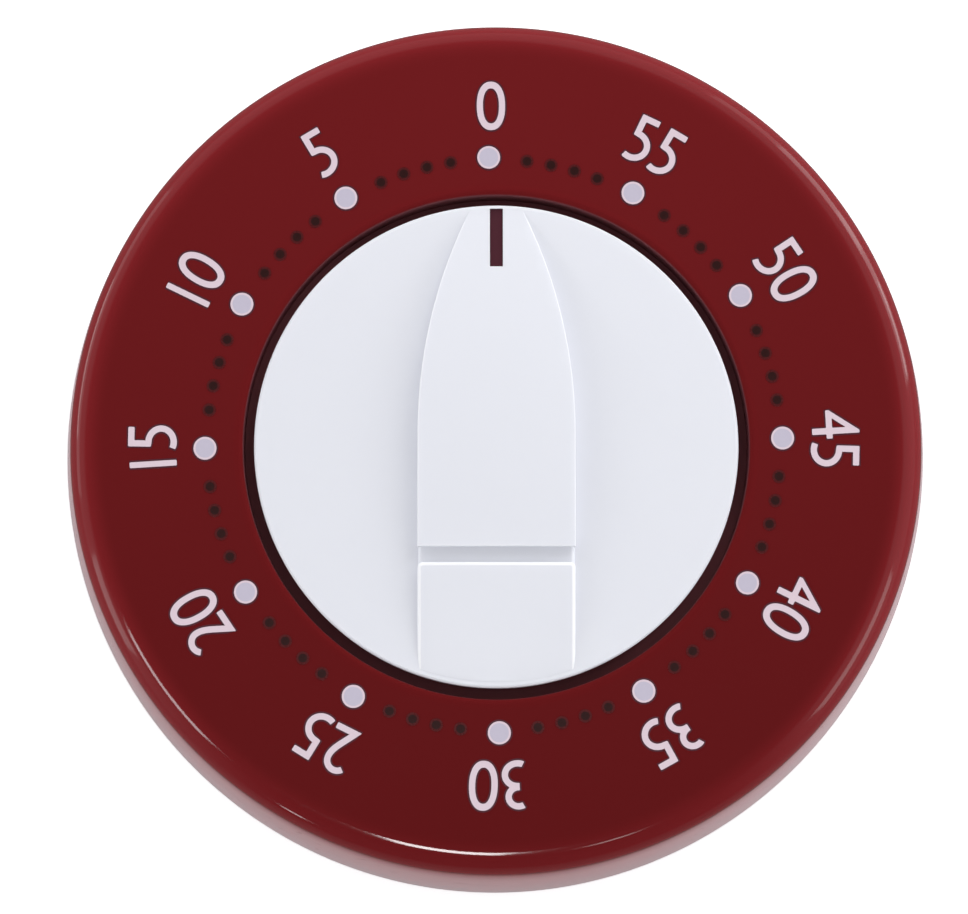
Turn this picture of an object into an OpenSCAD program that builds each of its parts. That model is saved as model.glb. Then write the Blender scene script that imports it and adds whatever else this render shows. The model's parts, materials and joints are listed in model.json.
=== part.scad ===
// Round kitchen countdown timer: a red dial cup turns on a fixed base, against a
// white pointer disc carried up through the middle on the main arbor.
// Millimetres, +Z up, origin at the bottom centre; +Y is the way the pointer points.

/* [View] */
// which part to draw

/* [Cup] */
// height of the dial face above the table
face_h = 26; // [25.5:0.1:26.5]
// radius of the cup at its foot
cup_r = 40; // [38:0.1:42]
// gap between the table and the cup's foot
foot_gap = 1.6; // [1.4:0.1:2]
// lean of the side wall at the foot, degrees from upright
foot_lean = 2.2; // [2:0.1:2.4]
// radius of the side wall's long curve
wall_arc_r = 191; // [185:1:200]
// radius of the rounded shoulder
shoulder_r = 2.3; // [2.1:0.1:2.6]
// thickness of the cup's wall and face
cup_wall = 2; // [1.8:0.1:2]

/* [Well] */
// gap all round between the pointer disc and the well
well_gap = 1; // [0.8:0.1:1.2]
// radius of the well's rounded lip
lip_r = 0.5; // [0.4:0.1:1]
// thickness of the well's wall and floor
well_wall = 1.6; // [1.4:0.1:1.6]
// height of the well's floor
well_floor_z = 22; // [21.8:0.1:22.2]

/* [Pointer disc] */
// radius of the white disc
disc_r = 21.4; // [20:0.1:23]
// rounding of the disc's rim
disc_rim_r = 0.5; // [0.3:0.1:0.7]
// thickness of the disc's top
disc_t = 1.6; // [1.4:0.1:1.8]
// height of the raised pointer above the disc at its middle
relief_h = 2; // [1.6:0.1:2.4]
// half the width of the pointer and of the pad
pointer_hw = 6.93; // [6.6:0.01:7.2]
// radius of the pointer's curved sides
ogive_r = 45.5; // [44:0.1:48]
// where the pointer's sides start to curve
ogive_y = 1; // [0.6:0.1:1.4]
// distance of the pointer's square end from the middle
pointer_end = 9.2; // [9:0.1:9.4]
// distance of the pad's edge from the middle
pad_start = 10.4; // [10.2:0.1:10.6]
// width of the index slot
index_w = 1.12; // [0.9:0.01:1.2]
// length of the index slot
index_l = 5.4; // [5.1:0.05:5.6]
// distance of the index slot from the disc's rim
index_inset = 0.3; // [0.25:0.05:0.5]
// depth of the index slot
index_d = 0.25; // [0.2:0.05:0.3]

/* [Base] */
// gap between the base plate and the inside of the cup's foot
base_gap = 1; // [0.8:0.1:1.2]
// thickness of the base plate
base_t = 2.2; // [2:0.1:2.2]
// how far the feet stand below the base plate
foot_h = 0.8; // [0.6:0.1:0.8]
// radius of a foot
foot_r = 4; // [3.5:0.1:4.5]
// how far the feet's centres stand inside the base plate's edge
foot_inset = 8; // [7:0.5:9]
// radius of the boss that holds the main arbor
boss_r = 7; // [6.8:0.1:7.4]
// top of the boss
boss_top = 6; // [5.9:0.05:6]

/* [Movement] */
// underside of the back plate
back_z = 9; // [9:0.05:9.1]
// thickness of both plates
plate_t = 1; // [0.9:0.05:1]
// underside of the front plate
front_z = 17.6; // [17.6:0.05:17.7]
// radius of the back plate
back_r = 26.5; // [26:0.1:27]
// how far the front plate stays inside the base plate's edge
front_inset = 5; // [4.8:0.1:5.2]
// radius of the main arbor below the wheels
arbor_r = 2.5; // [2.4:0.05:2.5]
// radius of the main arbor above the wheels
arbor_top_r = 2.2; // [2.1:0.05:2.2]
// thickness of the mainspring's strip
spring_t = 0.35; // [0.3:0.05:0.4]
// height of the mainspring
spring_h = 2.3; // [2.1:0.1:2.3]
// turns of the mainspring
spring_turns = 7; // [5:1:7]
// running clearance of shafts and pivots
run_gap = 0.06; // [0.05:0.01:0.08]
// clearance of fixed fits
fit_gap = 0.02; // [0.01:0.01:0.02]

/* [Train] */
// leaves of each pinion
pinion_n = 8; // [8:1:8]
// teeth of the great wheel
great_n = 60; // [60:1:60]
// teeth of the second wheel
second_n = 56; // [56:1:56]
// teeth of the third wheel
third_n = 48; // [48:1:48]
// teeth of the escape wheel
escape_n = 15; // [15:1:15]
// module of the great wheel and the second pinion
mod_1 = 0.4; // [0.4:0.01:0.4]
// module of the second wheel and the third pinion
mod_2 = 0.32; // [0.32:0.01:0.32]
// module of the third wheel and the escape pinion
mod_3 = 0.28; // [0.28:0.01:0.28]
// tip radius of the escape wheel
escape_r = 4.6; // [4.5:0.1:4.6]
// thinning of each tooth at the pitch line, as a share of the module
thin_share = 0.15; // [0.12:0.01:0.18]

/* [Alarm] */
// height of the gong
gong_h = 3.2; // [3:0.1:3.2]
// thickness of the gong
gong_t = 0.9; // [0.8:0.1:1]
// radius of the release cam
cam_r = 6; // [5.8:0.1:6]
// radius at the bottom of the cam's notch
cam_notch_r = 4.3; // [4.2:0.1:4.4]

/* [Hidden] */
$fn = 96;
// sides of a circle whose radius is much longer than the timer
long_arc_sides = 720;

red = [0.42, 0.06, 0.07];
white = [0.9, 0.9, 0.92];
black = [0.12, 0.12, 0.13];
steel = [0.62, 0.63, 0.65];
brass = [0.78, 0.62, 0.3];
eps = 0.01;

// cup wall: one long arc, drawn about a far centre, meeting the shoulder's circle
wall_cx = cup_r - wall_arc_r * cos(foot_lean);
wall_cz = foot_gap - wall_arc_r * sin(foot_lean);
shoulder_z = face_h - shoulder_r;
shoulder_x = wall_cx + sqrt(pow(wall_arc_r - shoulder_r, 2) - pow(shoulder_z - wall_cz, 2));
shoulder_a = asin((shoulder_z - wall_cz) / (wall_arc_r - shoulder_r));
well_r = disc_r + well_gap;
well_bottom = well_floor_z - well_wall;
hub_r = 4;
hub_bottom = 21;
hub_hole_r = hub_r + 0.8;
sink = 0.5;
disc_under = face_h - disc_t;
disc_under_gap = 0.6;
disc_rim_bottom = well_floor_z + disc_under_gap;
rim_wall = 1.4;
rib_w = 1.2;
relief_inset = 0.4;
relief_reach = disc_r - relief_inset;
dome_r = (relief_reach * relief_reach + relief_h * relief_h) / (2 * relief_h);

// the index slot's inner end
index_y0 = disc_r - index_inset - index_l;

// base
base_r = cup_r - cup_wall - base_gap;
foot_as = [45, 135, 225, 315];
foot_ring_r = base_r - foot_inset;
screw_seat_z = 2.4;
socket_z = 3.6;
base_screw_r = 1.3;
base_screw_l = 6.3;
base_screw_head_r = 3;
base_screw_head_h = 1.3;
head_clearance = 0.8;
shank_clearance = 0.3;
cross_w = 0.5;
cross_d = 0.5;
ring_r0 = 12;
ring_r1 = 22;
ring_d = 0.4;
arbor_foot_r = 3;
arbor_foot_flat = 4.8;
arbor_flange_r = 5;
flat_d = 0.6;
arbor_top_flat = arbor_top_r - flat_d;
clip_groove_r = 1.7;
clip_h = 0.6;
clip_r = 3.8;
clip_mouth = 2.6;
groove_h = 1;

// the stop: a lug in the cup and a post on the base
stop_w = 2.3;
stop_h = 3.4;
stop_reach = 2;
stop_r0 = base_r - stop_reach;
stop_inset = 0.15;
stop_a = -90;
stop_gap = 4;
lug_z = 3.6;
lug_h = 5;

// levels in the movement
back_top = back_z + plate_t;
front_top = front_z + plate_t;
spring_z = 10.5;
ratchet_z = 13.2;
ratchet_h = 0.7;
great_z = ratchet_z + ratchet_h;
wheel_h = 0.8;
collet_r = 3.6;
collet_h = 0.6;
pinion_1_z = great_z - 0.1;
second_z = 15.6;
third_pinion_z = 15.4;
third_pinion_h = 1.1;
third_z = 11.6;
escape_pinion_z = 11.4;
escape_pinion_h = 1.1;
escape_z = 14.2;
thin_wheel_h = 0.7;
anchor_z = 15.2;
anchor_h = 0.6;
bar_z = 13;
end_play = 0.1;
pivot_r = 0.44;
pivot_reach = plate_t - end_play;
shoulder_h = 0.3;

// arbors: radius of each
arbor_2_r = 0.9;
arbor_3_r = 0.8;
arbor_4_r = 0.7;

// where the arbors stand, found from their centre distances
dist_1 = mod_1 * (great_n + pinion_n) / 2;
dist_2 = mod_2 * (second_n + pinion_n) / 2;
dist_3 = mod_3 * (third_n + pinion_n) / 2;
second_a = 12;
third_rad = 20.2;
escape_rad = 21.6;
anchor_rad = 21.5;
third_a = second_a + acos((pow(dist_1, 2) + pow(third_rad, 2) - pow(dist_2, 2))
  / (2 * dist_1 * third_rad));
escape_a = third_a + acos((pow(third_rad, 2) + pow(escape_rad, 2) - pow(dist_3, 2))
  / (2 * third_rad * escape_rad));
anchor_a = escape_a + 18.5;
second_at = polar(dist_1, second_a);
third_at = polar(third_rad, third_a);
escape_at = polar(escape_rad, escape_a);
anchor_at = polar(anchor_rad, anchor_a);
to_third = bearing(second_at, third_at);
to_escape = bearing(third_at, escape_at);
to_anchor = bearing(escape_at, anchor_at);

// fixed posts of the movement
pillar_rad = 24.3;
pillar_as = [-22, 112, 178, 250];
pillar_r = 1.8;
pillar_tail_r = 0.9;
rivet_h = 0.3;
pillar_screw_l = 3.6;
pillar_bore = 4;
pillar_head_r = 2;
pillar_head_h = 1.1;
head_slot_w = 0.5;
head_slot_d = 0.5;
front_r = base_r - front_inset;
bush_r = 3;
bush_edge = 2.5;
bush_rad = front_r - bush_edge;
bush_as = [30, 150, 270];
bush_hole = 4.2;
housing_screw_r = 1;
housing_screw_l = 4.6;
housing_head_r = 2.1;
housing_head_h = 1.3;
housing_cross = 2.8;
stud_tail_r = 0.7;
post_a = 205;
post_r = 1.1;
eye_gap = 0.05;
ratchet_r = 4.6;
ratchet_root_r = 4;
ratchet_n = 20;
click_a = 150;
click_rad = 8.6;
click_at = polar(click_rad, click_a);
click_pin_r = 0.7;
click_tail_r = 0.5;
click_head_r = 1.2;
click_head_h = 0.3;
click_eye_r = 1.45;
click_play = 0.05;
click_spring_w = 0.24;
click_spring_h = 0.4;
click_block_r = 0.8;
click_spring_tail_r = 0.4;
window_r = 1.9;
window_rad = 7.2;
spring_block_at = polar(9.4, click_a + 62);

// mainspring: an even spiral, then a tail that swings out to its post
spring_inner_gap = 0.35;
spring_outer_gap = 0.8;
spring_r0 = arbor_r + spring_inner_gap;
spring_r1 = dist_1 - arbor_2_r - spring_outer_gap;
spring_swing = 28;
spring_reach = 2.3;
post_at = polar(spring_r1 + spring_reach, post_a);
spring_end = post_a + 360 - spring_swing;
spring_from = spring_end - 360 * spring_turns;
spring_as = concat([for (a = [spring_from : 12 : spring_end]) a],
  [for (k = [1 : 7]) spring_end + spring_swing * k / 7 - 1.2]);

// arbors: side of the square seat for each pinion and wheel, radius of each collar
seat_2 = 1.2;
seat_3 = 1;
seat_3w = 1.04;
seat_4 = 0.9;
collar_2_r = 1.5;
collar_3_r = 1.3;
collar_4_r = 1.2;
collar_4p_r = 1.1;

// wheels: hub, rim and spokes
hub_2_r = 2.6;
hub_3_r = 2.2;
hub_4_r = 1.6;
rim_2 = 0.9;
rim_3 = 0.8;
spoke_w = 1;
escape_spoke_w = 0.8;
escape_tooth = 1.3;
escape_rim = 0.7;

// anchor and inertia bar
pin_r = 0.3;
pin_gap = 0.1;
pin_reach = escape_r + pin_r + pin_gap;
pin_a = 33;
anchor_hub_r = 1.7;
anchor_arm_w = 1.2;
anchor_eye_r = 0.7;
bar_l = 10;
bar_w = 1.2;
bar_hub_r = 1.6;
bar_weight_rad = 4.6;

// alarm
cam_z = boss_top + 1;
cam_h = 1.2;
gong_gap = 0.5;
gong_boss_gap = 1.5;
gong_out = stop_r0 - stop_reach - gong_gap;
gong_r = (gong_out - boss_r - gong_boss_gap) / 2;
gong_at = [0, gong_r - gong_out];
gong_top = 7;
gong_bend_r = 1.6;
gong_post_r = 1.9;
gong_tail_r = 0.9;
gong_thread_r = 1;
gong_thread_l = 1.5;
nut_r = 2.2;
nut_h = 1;
hammer_at = polar(13.5, 215);
hammer_pin_r = 0.9;
hammer_collar_r = 1.7;
hammer_collar_gap = 0.3;
hammer_washer_r = 1.6;
hammer_washer_h = 0.6;
hammer_washer_gap = 0.1;
head_r = 1.5;
head_tail_r = 0.6;
head_bottom = 4.4;
head_gap = 1.6;
head_at = gong_at + polar(gong_r + head_r + head_gap, 168.5);
lever_z = 7.4;
lever_h = 0.8;
lever_w = 1.6;
lever_eye_r = 2.2;
tip_a = 260;
tip_rad = 6.3;

function polar(r, a) = [r * cos(a), r * sin(a)];
function bearing(p, q) = atan2(q[1] - p[1], q[0] - p[0]);
function roll(a) = tan(a) * 180 / PI - a;

// half the angle of a tooth at radius r: involute of 20 degrees above the base circle
function half_tooth(n, m, r) =
  90 / n - thin_share * m / (n * m / 2) * 90 / PI
  + roll(20) - roll(acos(min(1, n * m / 2 * cos(20) / max(r, n * m / 2 * cos(20)))));

// radius of the mainspring's centre line at an angle
function spring_radius(a) =
  a <= spring_end
    ? spring_r0 + (spring_r1 - spring_r0) * (a - spring_from) / (spring_end - spring_from)
    : spring_r1 + spring_reach * pow((a - spring_end) / spring_swing, 1.6);

// outline of a gear whose first tooth points along +X
function gear_points(n, m, add, ded) =
  let (
    rp = n * m / 2,
    rb = rp * cos(20),
    rr = rp - ded * m,
    ra = rp + add * m,
    r1 = max(rb, rr + 0.02),
    rs = [rr, r1, (r1 + ra) / 2, ra]
  )
  [for (i = [0 : n - 1], k = [0 : 7])
    let (r = k < 4 ? rs[k] : rs[7 - k], s = k < 4 ? -1 : 1)
    polar(r, i * 360 / n + s * half_tooth(n, m, r))];

// an arc of points, for windows and sectors
function arc_points(r, a0, a1, steps) =
  [for (i = [0 : steps]) polar(r, a0 + (a1 - a0) * i / steps)];

// windows between the spokes of a wheel
module windows(count, r_in, r_out, spoke_w) {
  for (i = [0 : count - 1]) {
    a = i * 360 / count;
    b = a + 360 / count;
    d_in = asin(spoke_w / 2 / r_in);
    d_out = asin(spoke_w / 2 / r_out);
    polygon(concat(
      arc_points(r_in, a + d_in, b - d_in, 5),
      arc_points(r_out, b - d_out, a + d_out, 9)));
  }
}

module square_seat(side) {
  square([side, side], center = true);
}

// a toothed wheel with spoke windows and a square seat
module wheel(n, m, h, turn, spokes, hub, rim, seat) {
  linear_extrude(height = h)
    difference() {
      rotate(turn) polygon(gear_points(n, m, 0.5, 1.25));
      windows(spokes, hub, n * m / 2 - 1.25 * m - rim, spoke_w);
      square_seat(seat + 2 * fit_gap);
    }
}

module pinion(m, h, toward, seat) {
  linear_extrude(height = h)
    difference() {
      rotate(toward + 180 / pinion_n) polygon(gear_points(pinion_n, m, 1, 0.7));
      square_seat(seat + 2 * fit_gap);
    }
}

// a turned arbor between the plates with a pivot at each end
module arbor(r) {
  translate([0, 0, back_top + end_play])
    cylinder(r = r, h = front_z - back_top - 2 * end_play);
  translate([0, 0, back_top - pivot_reach])
    cylinder(r = pivot_r, h = front_z - back_top + 2 * pivot_reach);
}

module collar(r, z, h) {
  translate([0, 0, z]) cylinder(r = r, h = h);
}

module seat_block(side, z, h) {
  translate([-side / 2, -side / 2, z]) cube([side, side, h]);
}

// an arbor's body with the round cut away over a square seat
module arbor_with_seats(r, seats, collars) {
  difference() {
    arbor(r);
    for (s = seats)
      translate([0, 0, s[1]]) cylinder(r = r + 1, h = s[2]);
  }
  for (s = seats) seat_block(s[0], s[1], s[2]);
  for (c = collars) collar(c[0], c[1], c[2]);
}

// the cup's outside, set in by t; x is the radius
module cup_outline(t, from_z) {
  top_z = wall_cz + (wall_arc_r - t) * sin(shoulder_a);
  intersection() {
    translate([wall_cx, wall_cz]) circle(r = wall_arc_r - t, $fn = long_arc_sides);
    translate([0, from_z]) square([cup_r + 5, top_z - from_z]);
  }
  translate([shoulder_x, shoulder_z]) circle(r = shoulder_r - t);
  translate([0, from_z]) square([shoulder_x, face_h - t - from_z]);
}

module dial_housing() {
  color(red) {
    rotate_extrude()
      difference() {
        cup_outline(0, foot_gap);
        difference() {
          cup_outline(cup_wall, foot_gap - 1);
          translate([0, well_bottom]) square([well_r + well_wall, face_h]);
        }
        translate([0, well_floor_z]) square([well_r, face_h]);
        square([hub_hole_r, face_h]);
        difference() {
          translate([well_r - eps, face_h - lip_r]) square([lip_r + eps, lip_r + 1]);
          translate([well_r + lip_r, face_h - lip_r]) circle(r = lip_r);
        }
      }
    // bushes that the front plate is screwed to
    for (a = bush_as)
      translate(concat(polar(bush_rad, a), front_top))
        difference() {
          cylinder(r = bush_r, h = face_h - cup_wall - front_top + sink);
          translate([0, 0, -1]) cylinder(r = housing_screw_r + fit_gap, h = bush_hole + 1);
        }
    // stop lug on the inside of the skirt
    rotate(stop_a - stop_gap)
      translate([stop_r0, -stop_w / 2, lug_z])
        cube([cup_r - cup_wall + sink - stop_r0, stop_w, lug_h]);
  }
}

// the shallow dome that the pointer and the pad rise to, lowered by drop
module relief_dome(drop) {
  rotate_extrude()
    intersection() {
      translate([0, face_h + relief_h - dome_r]) circle(r = dome_r - drop, $fn = long_arc_sides);
      translate([0, disc_under]) square([disc_r, disc_t + relief_h]);
    }
}

// the pointer's outline: straight sides that curve in towards the rim
module pointer_outline() {
  intersection() {
    union() {
      intersection() {
        translate([pointer_hw - ogive_r, ogive_y]) circle(r = ogive_r);
        translate([ogive_r - pointer_hw, ogive_y]) circle(r = ogive_r);
        translate([-pointer_hw, ogive_y]) square([2 * pointer_hw, disc_r]);
      }
      translate([-pointer_hw, -pointer_end]) square([2 * pointer_hw, pointer_end + ogive_y]);
    }
    circle(r = disc_r - disc_rim_r);
  }
}

module pad_outline() {
  intersection() {
    translate([-pointer_hw, -disc_r]) square([2 * pointer_hw, disc_r - pad_start]);
    circle(r = disc_r - disc_rim_r);
  }
}

module pointer_disc() {
  color(white)
    difference() {
      union() {
        rotate_extrude()
          difference() {
            union() {
              translate([0, disc_rim_bottom])
                square([disc_r - disc_rim_r, face_h - disc_rim_bottom]);
              translate([0, disc_rim_bottom])
                square([disc_r, face_h - disc_rim_bottom - disc_rim_r]);
              translate([disc_r - disc_rim_r, face_h - disc_rim_r]) circle(r = disc_rim_r);
            }
            square([disc_r - rim_wall, disc_under]);
          }
        // hub and ribs underneath
        translate([0, 0, hub_bottom]) cylinder(r = hub_r, h = disc_under + disc_t / 2 - hub_bottom);
        for (a = [30 : 60 : 330])
          rotate(a)
            translate([hub_r - sink, -rib_w / 2, disc_rim_bottom + disc_under_gap])
              cube([disc_r - rim_wall - hub_r + 2 * sink, rib_w, disc_under - disc_rim_bottom]);
        // pointer and pad
        intersection() {
          translate([0, 0, disc_under + disc_t / 2])
            linear_extrude(height = disc_t + relief_h)
              union() {
                pointer_outline();
                pad_outline();
              }
          relief_dome(0);
        }
      }
      // bore with a flat for the main arbor
      intersection() {
        translate([0, 0, hub_bottom - 1])
          cylinder(r = arbor_top_r + fit_gap, h = disc_under - hub_bottom + 1);
        translate([-hub_r, -hub_r, hub_bottom - 1])
          cube([2 * hub_r, hub_r + arbor_top_flat + fit_gap, face_h]);
      }
      // index slot, following the dome
      difference() {
        translate([-index_w / 2, index_y0, disc_under + disc_t / 2])
          cube([index_w, index_l, disc_t + relief_h]);
        relief_dome(index_d);
      }
    }
}

// the arbor's flatted foot, and with a gap the socket for it
module arbor_foot(gap) {
  intersection() {
    translate([0, 0, socket_z]) cylinder(r = arbor_foot_r + gap, h = boss_top - socket_z + 0.1);
    translate([-boss_r, -arbor_foot_flat / 2 - gap, socket_z])
      cube([2 * boss_r, arbor_foot_flat + 2 * gap, boss_top]);
  }
}

module base_plate() {
  color(black) {
    difference() {
      union() {
        translate([0, 0, foot_h]) cylinder(r = base_r, h = base_t);
        translate([0, 0, foot_h]) cylinder(r = boss_r, h = boss_top - foot_h);
      }
      // screw recess, hole and socket for the arbor's flatted end
      translate([0, 0, -1])
        cylinder(r = base_screw_head_r + head_clearance, h = 1 + screw_seat_z);
      cylinder(r = base_screw_r + shank_clearance, h = boss_top);
      arbor_foot(fit_gap);
      // pockets for the feet
      for (a = foot_as)
        rotate(a) translate([foot_ring_r, 0, 0]) cylinder(r = foot_r + fit_gap, h = 2 * foot_h);
      // moulded ring under the plate
      translate([0, 0, foot_h - 1])
        difference() {
          cylinder(r = ring_r1, h = ring_d + 1);
          translate([0, 0, -1]) cylinder(r = ring_r0, h = 4);
        }
    }
    // stop post
    rotate(stop_a)
      translate([stop_r0 - stop_reach, -stop_w / 2, foot_h + base_t - eps])
        cube([base_r - stop_inset - stop_r0 + stop_reach, stop_w, stop_h]);
  }
}

module rubber_feet() {
  color(black)
    for (a = foot_as)
      rotate(a) translate([foot_ring_r, 0, 0]) cylinder(r = foot_r, h = 2 * foot_h);
}

// a cross slot, cut up to a height
module cross_slot(length, top) {
  for (a = [0, 90])
    rotate(a) translate([-length / 2, -cross_w / 2, top - 2]) cube([length, cross_w, 2]);
}

module base_screw() {
  color(steel)
    difference() {
      union() {
        translate([0, 0, screw_seat_z - base_screw_head_h])
          cylinder(r = base_screw_head_r, h = base_screw_head_h);
        translate([0, 0, screw_seat_z - eps]) cylinder(r = base_screw_r, h = base_screw_l + eps);
      }
      cross_slot(base_screw_head_r + 1, screw_seat_z - base_screw_head_h + cross_d);
    }
}

module main_arbor() {
  color(steel)
    difference() {
      union() {
        arbor_foot(0);
        translate([0, 0, boss_top]) cylinder(r = arbor_flange_r, h = cam_z - boss_top);
        translate([0, 0, cam_z - eps]) cylinder(r = arbor_r, h = ratchet_z - cam_z + eps);
        translate([0, 0, ratchet_z - eps])
          cylinder(r = arbor_top_r, h = front_top + end_play - ratchet_z + eps);
        // groove for the clip, then the round and the flatted end
        translate([0, 0, front_top]) cylinder(r = clip_groove_r, h = groove_h);
        translate([0, 0, front_top + end_play + clip_h])
          cylinder(r = arbor_top_r, h = hub_bottom - front_top - groove_h + eps);
        intersection() {
          translate([0, 0, front_top + groove_h])
            cylinder(r = arbor_top_r, h = disc_under - front_top - groove_h);
          translate([-hub_r, -hub_r, 0]) cube([2 * hub_r, hub_r + arbor_top_flat, face_h]);
        }
      }
      translate([0, 0, socket_z - 0.1])
        cylinder(r = base_screw_r + fit_gap, h = screw_seat_z + base_screw_l + sink - socket_z);
    }
}

module release_cam() {
  color(brass)
    translate([0, 0, cam_z])
      linear_extrude(height = cam_h)
        difference() {
          circle(r = cam_r);
          circle(r = arbor_r + fit_gap);
          polygon([polar(cam_notch_r, tip_a - 16), polar(cam_r + 1, tip_a - 18),
            polar(cam_r + 1, tip_a + 18), polar(cam_notch_r, tip_a + 10)]);
        }
}

module ratchet_wheel() {
  color(steel)
    translate([0, 0, ratchet_z])
      linear_extrude(height = ratchet_h)
        difference() {
          rotate(click_a)
            polygon([for (i = [0 : ratchet_n - 1], k = [0 : 1])
              k == 0 ? polar(ratchet_r, 360 / ratchet_n * i)
              : polar(ratchet_root_r, 360 / ratchet_n * (i + 1) - 0.1)]);
          circle(r = arbor_top_r + fit_gap);
        }
}

module great_wheel() {
  color(brass)
    translate([0, 0, great_z])
      linear_extrude(height = wheel_h + 0.2)
        difference() {
          rotate(second_a) polygon(gear_points(great_n, mod_1, 0.5, 1.25));
          circle(r = arbor_top_r + fit_gap);
          translate(click_at) circle(r = click_tail_r + fit_gap);
          translate(spring_block_at) circle(r = click_spring_tail_r + fit_gap);
          for (a = [-120, -60, 120, 180])
            rotate(click_a + a) translate([window_rad, 0]) circle(r = window_r);
        }
}

module wheel_collet() {
  color(steel)
    translate([0, 0, great_z + wheel_h + 0.2])
      difference() {
        cylinder(r = collet_r, h = collet_h);
        translate([0, 0, -1]) cylinder(r = arbor_top_r + fit_gap, h = 3);
      }
}

module arbor_clip() {
  color(steel)
    translate([0, 0, front_top + end_play])
      linear_extrude(height = clip_h)
        difference() {
          circle(r = clip_r);
          circle(r = clip_groove_r + fit_gap);
          translate([0, -clip_mouth / 2]) square([clip_r + 1, clip_mouth]);
        }
}

module click_stud() {
  color(steel)
    translate(concat(click_at, 0)) {
      translate([0, 0, ratchet_z - click_head_h]) cylinder(r = click_head_r, h = click_head_h);
      translate([0, 0, ratchet_z - eps]) cylinder(r = click_pin_r, h = ratchet_h + eps);
      translate([0, 0, great_z - eps]) cylinder(r = click_tail_r, h = wheel_h + 0.2);
    }
}

module click() {
  color(steel)
    translate([0, 0, ratchet_z + click_play])
      linear_extrude(height = ratchet_h - 2 * click_play)
        rotate(click_a)
          difference() {
            union() {
              translate([click_rad, 0]) circle(r = click_eye_r);
              polygon([[8.9, 1.4], [4.9, 3.7], polar(5.2, 35.3), polar(4.15, 34.8),
                polar(5.2, 22), [7.6, -1]]);
            }
            translate([click_rad, 0]) circle(r = click_pin_r + run_gap);
          }
}

module click_spring() {
  tail = click_at + polar(2.6, click_a + 105);
  color(steel) {
    translate(concat(spring_block_at, ratchet_z + click_play))
      cylinder(r = click_block_r, h = ratchet_h - click_play);
    translate(concat(spring_block_at, great_z - eps))
      cylinder(r = click_spring_tail_r, h = wheel_h);
    translate([0, 0, ratchet_z + (ratchet_h - click_spring_h) / 2])
      linear_extrude(height = click_spring_h)
        strip(spring_block_at, tail, click_spring_w);
  }
}

module strip(p, q, w) {
  n = polar(w / 2, bearing(p, q) + 90);
  polygon([p + n, p - n, q - n, q + n]);
}

module pivots_2d() {
  for (p = [second_at, third_at, escape_at, anchor_at])
    translate(p) circle(r = pivot_r + run_gap);
}

module pillars_2d(r) {
  for (a = pillar_as) translate(polar(pillar_rad, a)) circle(r = r);
}

module back_plate() {
  color(brass)
    translate([0, 0, back_z])
      linear_extrude(height = plate_t)
        difference() {
          circle(r = back_r);
          circle(r = arbor_r + run_gap);
          pivots_2d();
          pillars_2d(pillar_tail_r + fit_gap);
          translate(post_at) circle(r = stud_tail_r + fit_gap);
          translate(gong_at) circle(r = gong_tail_r + fit_gap);
          translate(hammer_at) circle(r = stud_tail_r + fit_gap);
          translate(polar(17, 330)) circle(r = 4);
          translate(polar(16, 145)) circle(r = 4.5);
        }
}

module front_plate() {
  color(brass)
    translate([0, 0, front_z])
      linear_extrude(height = plate_t)
        difference() {
          circle(r = front_r);
          circle(r = arbor_top_r + run_gap);
          pivots_2d();
          pillars_2d(pillar_tail_r + fit_gap);
          translate(post_at) circle(r = stud_tail_r + fit_gap);
          for (a = bush_as) translate(polar(bush_rad, a)) circle(r = housing_screw_r + 0.2);
          for (a = [178 : 45 : 313]) translate(polar(18, a)) circle(r = 4);
        }
}

module plate_pillars() {
  color(steel)
    for (a = pillar_as)
      translate(concat(polar(pillar_rad, a), 0))
        difference() {
          union() {
            translate([0, 0, back_top]) cylinder(r = pillar_r, h = front_z - back_top);
            translate([0, 0, front_z - eps]) cylinder(r = pillar_tail_r, h = plate_t + rivet_h);
          }
          translate([0, 0, back_z]) cylinder(r = pillar_tail_r + fit_gap, h = pillar_bore);
        }
}

module pillar_screws() {
  color(steel)
    for (a = pillar_as)
      translate(concat(polar(pillar_rad, a), 0))
        difference() {
          union() {
            translate([0, 0, back_z - pillar_head_h])
              cylinder(r = pillar_head_r, h = pillar_head_h);
            translate([0, 0, back_z - eps]) cylinder(r = pillar_tail_r, h = pillar_screw_l);
          }
          translate([-pillar_head_r - 1, -head_slot_w / 2, back_z - pillar_head_h - 1])
            cube([2 * pillar_head_r + 2, head_slot_w, head_slot_d + 1]);
        }
}

module housing_screws() {
  color(steel)
    for (a = bush_as)
      translate(concat(polar(bush_rad, a), 0))
        difference() {
          union() {
            translate([0, 0, front_z - housing_head_h])
              cylinder(r = housing_head_r, h = housing_head_h);
            translate([0, 0, front_z - eps]) cylinder(r = housing_screw_r, h = housing_screw_l);
          }
          cross_slot(housing_cross, front_z - housing_head_h + cross_d);
        }
}

module spring_post() {
  color(steel)
    translate(concat(post_at, 0)) {
      translate([0, 0, back_top]) cylinder(r = post_r, h = front_z - back_top);
      translate([0, 0, back_z]) cylinder(r = stud_tail_r, h = front_top - back_z);
    }
}

module mainspring() {
  color(steel)
    translate([0, 0, spring_z])
      linear_extrude(height = spring_h)
        difference() {
          union() {
            polygon(concat(
              [for (a = spring_as) polar(spring_radius(a) + spring_t / 2, a)],
              [for (i = [len(spring_as) - 1 : -1 : 0])
                polar(spring_radius(spring_as[i]) - spring_t / 2, spring_as[i])]));
            translate(post_at) circle(r = post_r + eye_gap + spring_t);
          }
          translate(post_at) circle(r = post_r + eye_gap);
        }
}

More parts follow.
